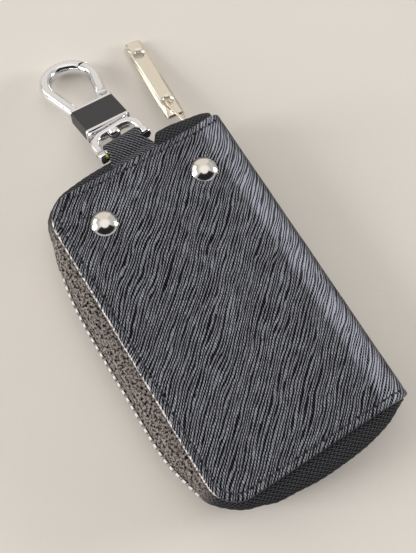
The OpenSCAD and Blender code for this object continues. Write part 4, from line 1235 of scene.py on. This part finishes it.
def table_finish(g):
    c = colours()
    p = g.place()
    grain = g.noise(p, 0.6, 3.0)
    broad = g.noise(p, 0.02, 2.0)
    tone = g.mix(broad * 0.6 + grain * 0.25, times(c.floor, 0.94), times(c.floor, 1.06))
    g.surface(Base_Color=tone, Roughness=0.65, Normal=g.bump(grain, 0.03 * MM))


def pane(g, toward, turn, width, low, high, soft=0.05):
    """1 in the part of the room between two heights, width degrees round the direction turn"""
    height = g.axis(toward, "Z")
    inside = height.step(low, low + soft) * (1 - height.step(high, high + soft))
    for side in (-1, 1):
        a = math.radians(turn + side * width / 2)
        inside *= g.dot(toward, (side * math.sin(a), -side * math.cos(a))).step(0, soft)
    return inside


def room_light(g, strength):
    """Soft room: pale walls, darker at the height of the table, with two windows and a dark side"""
    toward = g.node("ShaderNodeTexCoord", None, None, "Generated")
    height = g.axis(toward, "Z")
    tone = g.mix(height.step(0.70, 0.96), ROOM_WALL, ROOM_CEILING)
    tone = g.mix(1 - height.step(0, 0.2), tone, ROOM_FOOT)
    for turn, width, bottom, top, light in ROOM_PANES:
        tone = g.mix(pane(g, toward, turn, width, bottom, top), tone, light)
    ray = g.node("ShaderNodeLightPath", None, None, "Is Camera Ray")
    tone = g.mix(ray, tone, SEEN_ROOM)
    level = ray * (1 - strength) + strength
    shade = g.node("ShaderNodeBackground", None, {"Color": tone, "Strength": level})
    g.tree.links.new(shade.socket, g.tree.nodes.new("ShaderNodeOutputWorld").inputs["Surface"])


PIECES = (KEYCASE_OT_cover, KEYCASE_OT_stitches, KEYCASE_OT_lining, KEYCASE_OT_tapes, KEYCASE_OT_teeth,
          KEYCASE_OT_pull, KEYCASE_OT_rivets, KEYCASE_OT_strap, KEYCASE_OT_shackle, KEYCASE_OT_hook,
          KEYCASE_OT_stage)


class KEYCASE_PT_panel(bpy.types.Panel):
    """Lists the sizes, the colours and the pieces of the key case"""

    bl_idname = "KEYCASE_PT_panel"
    bl_label = "Key Case"
    bl_space_type = "VIEW_3D"
    bl_region_type = "UI"
    bl_category = "Key Case"

    def draw(self, context):
        for group in (context.scene.key_case_sizes, context.scene.key_case_colours,
                      context.scene.key_case_stage):
            box = self.layout.box()
            for name in group.__annotations__:
                box.prop(group, name)
        for operator in PIECES:
            self.layout.operator(operator.bl_idname)


GROUPS = (("key_case_sizes", KeyCaseSizes), ("key_case_colours", KeyCaseColours),
          ("key_case_stage", KeyCaseStage))


def register():
    for name, group in GROUPS:
        bpy.utils.register_class(group)
        setattr(bpy.types.Scene, name, PointerProperty(type=group))
    for made in (*PIECES, KEYCASE_PT_panel):
        bpy.utils.register_class(made)


def unregister():
    for made in (KEYCASE_PT_panel, *reversed(PIECES)):
        bpy.utils.unregister_class(made)
    for name, group in reversed(GROUPS):
        delattr(bpy.types.Scene, name)
        bpy.utils.unregister_class(group)


def main():
    register()
    for operator in PIECES:
        prefix, name = operator.bl_idname.split(".")
        getattr(getattr(bpy.ops, prefix), name)()


if __name__ == "__main__":
    main()
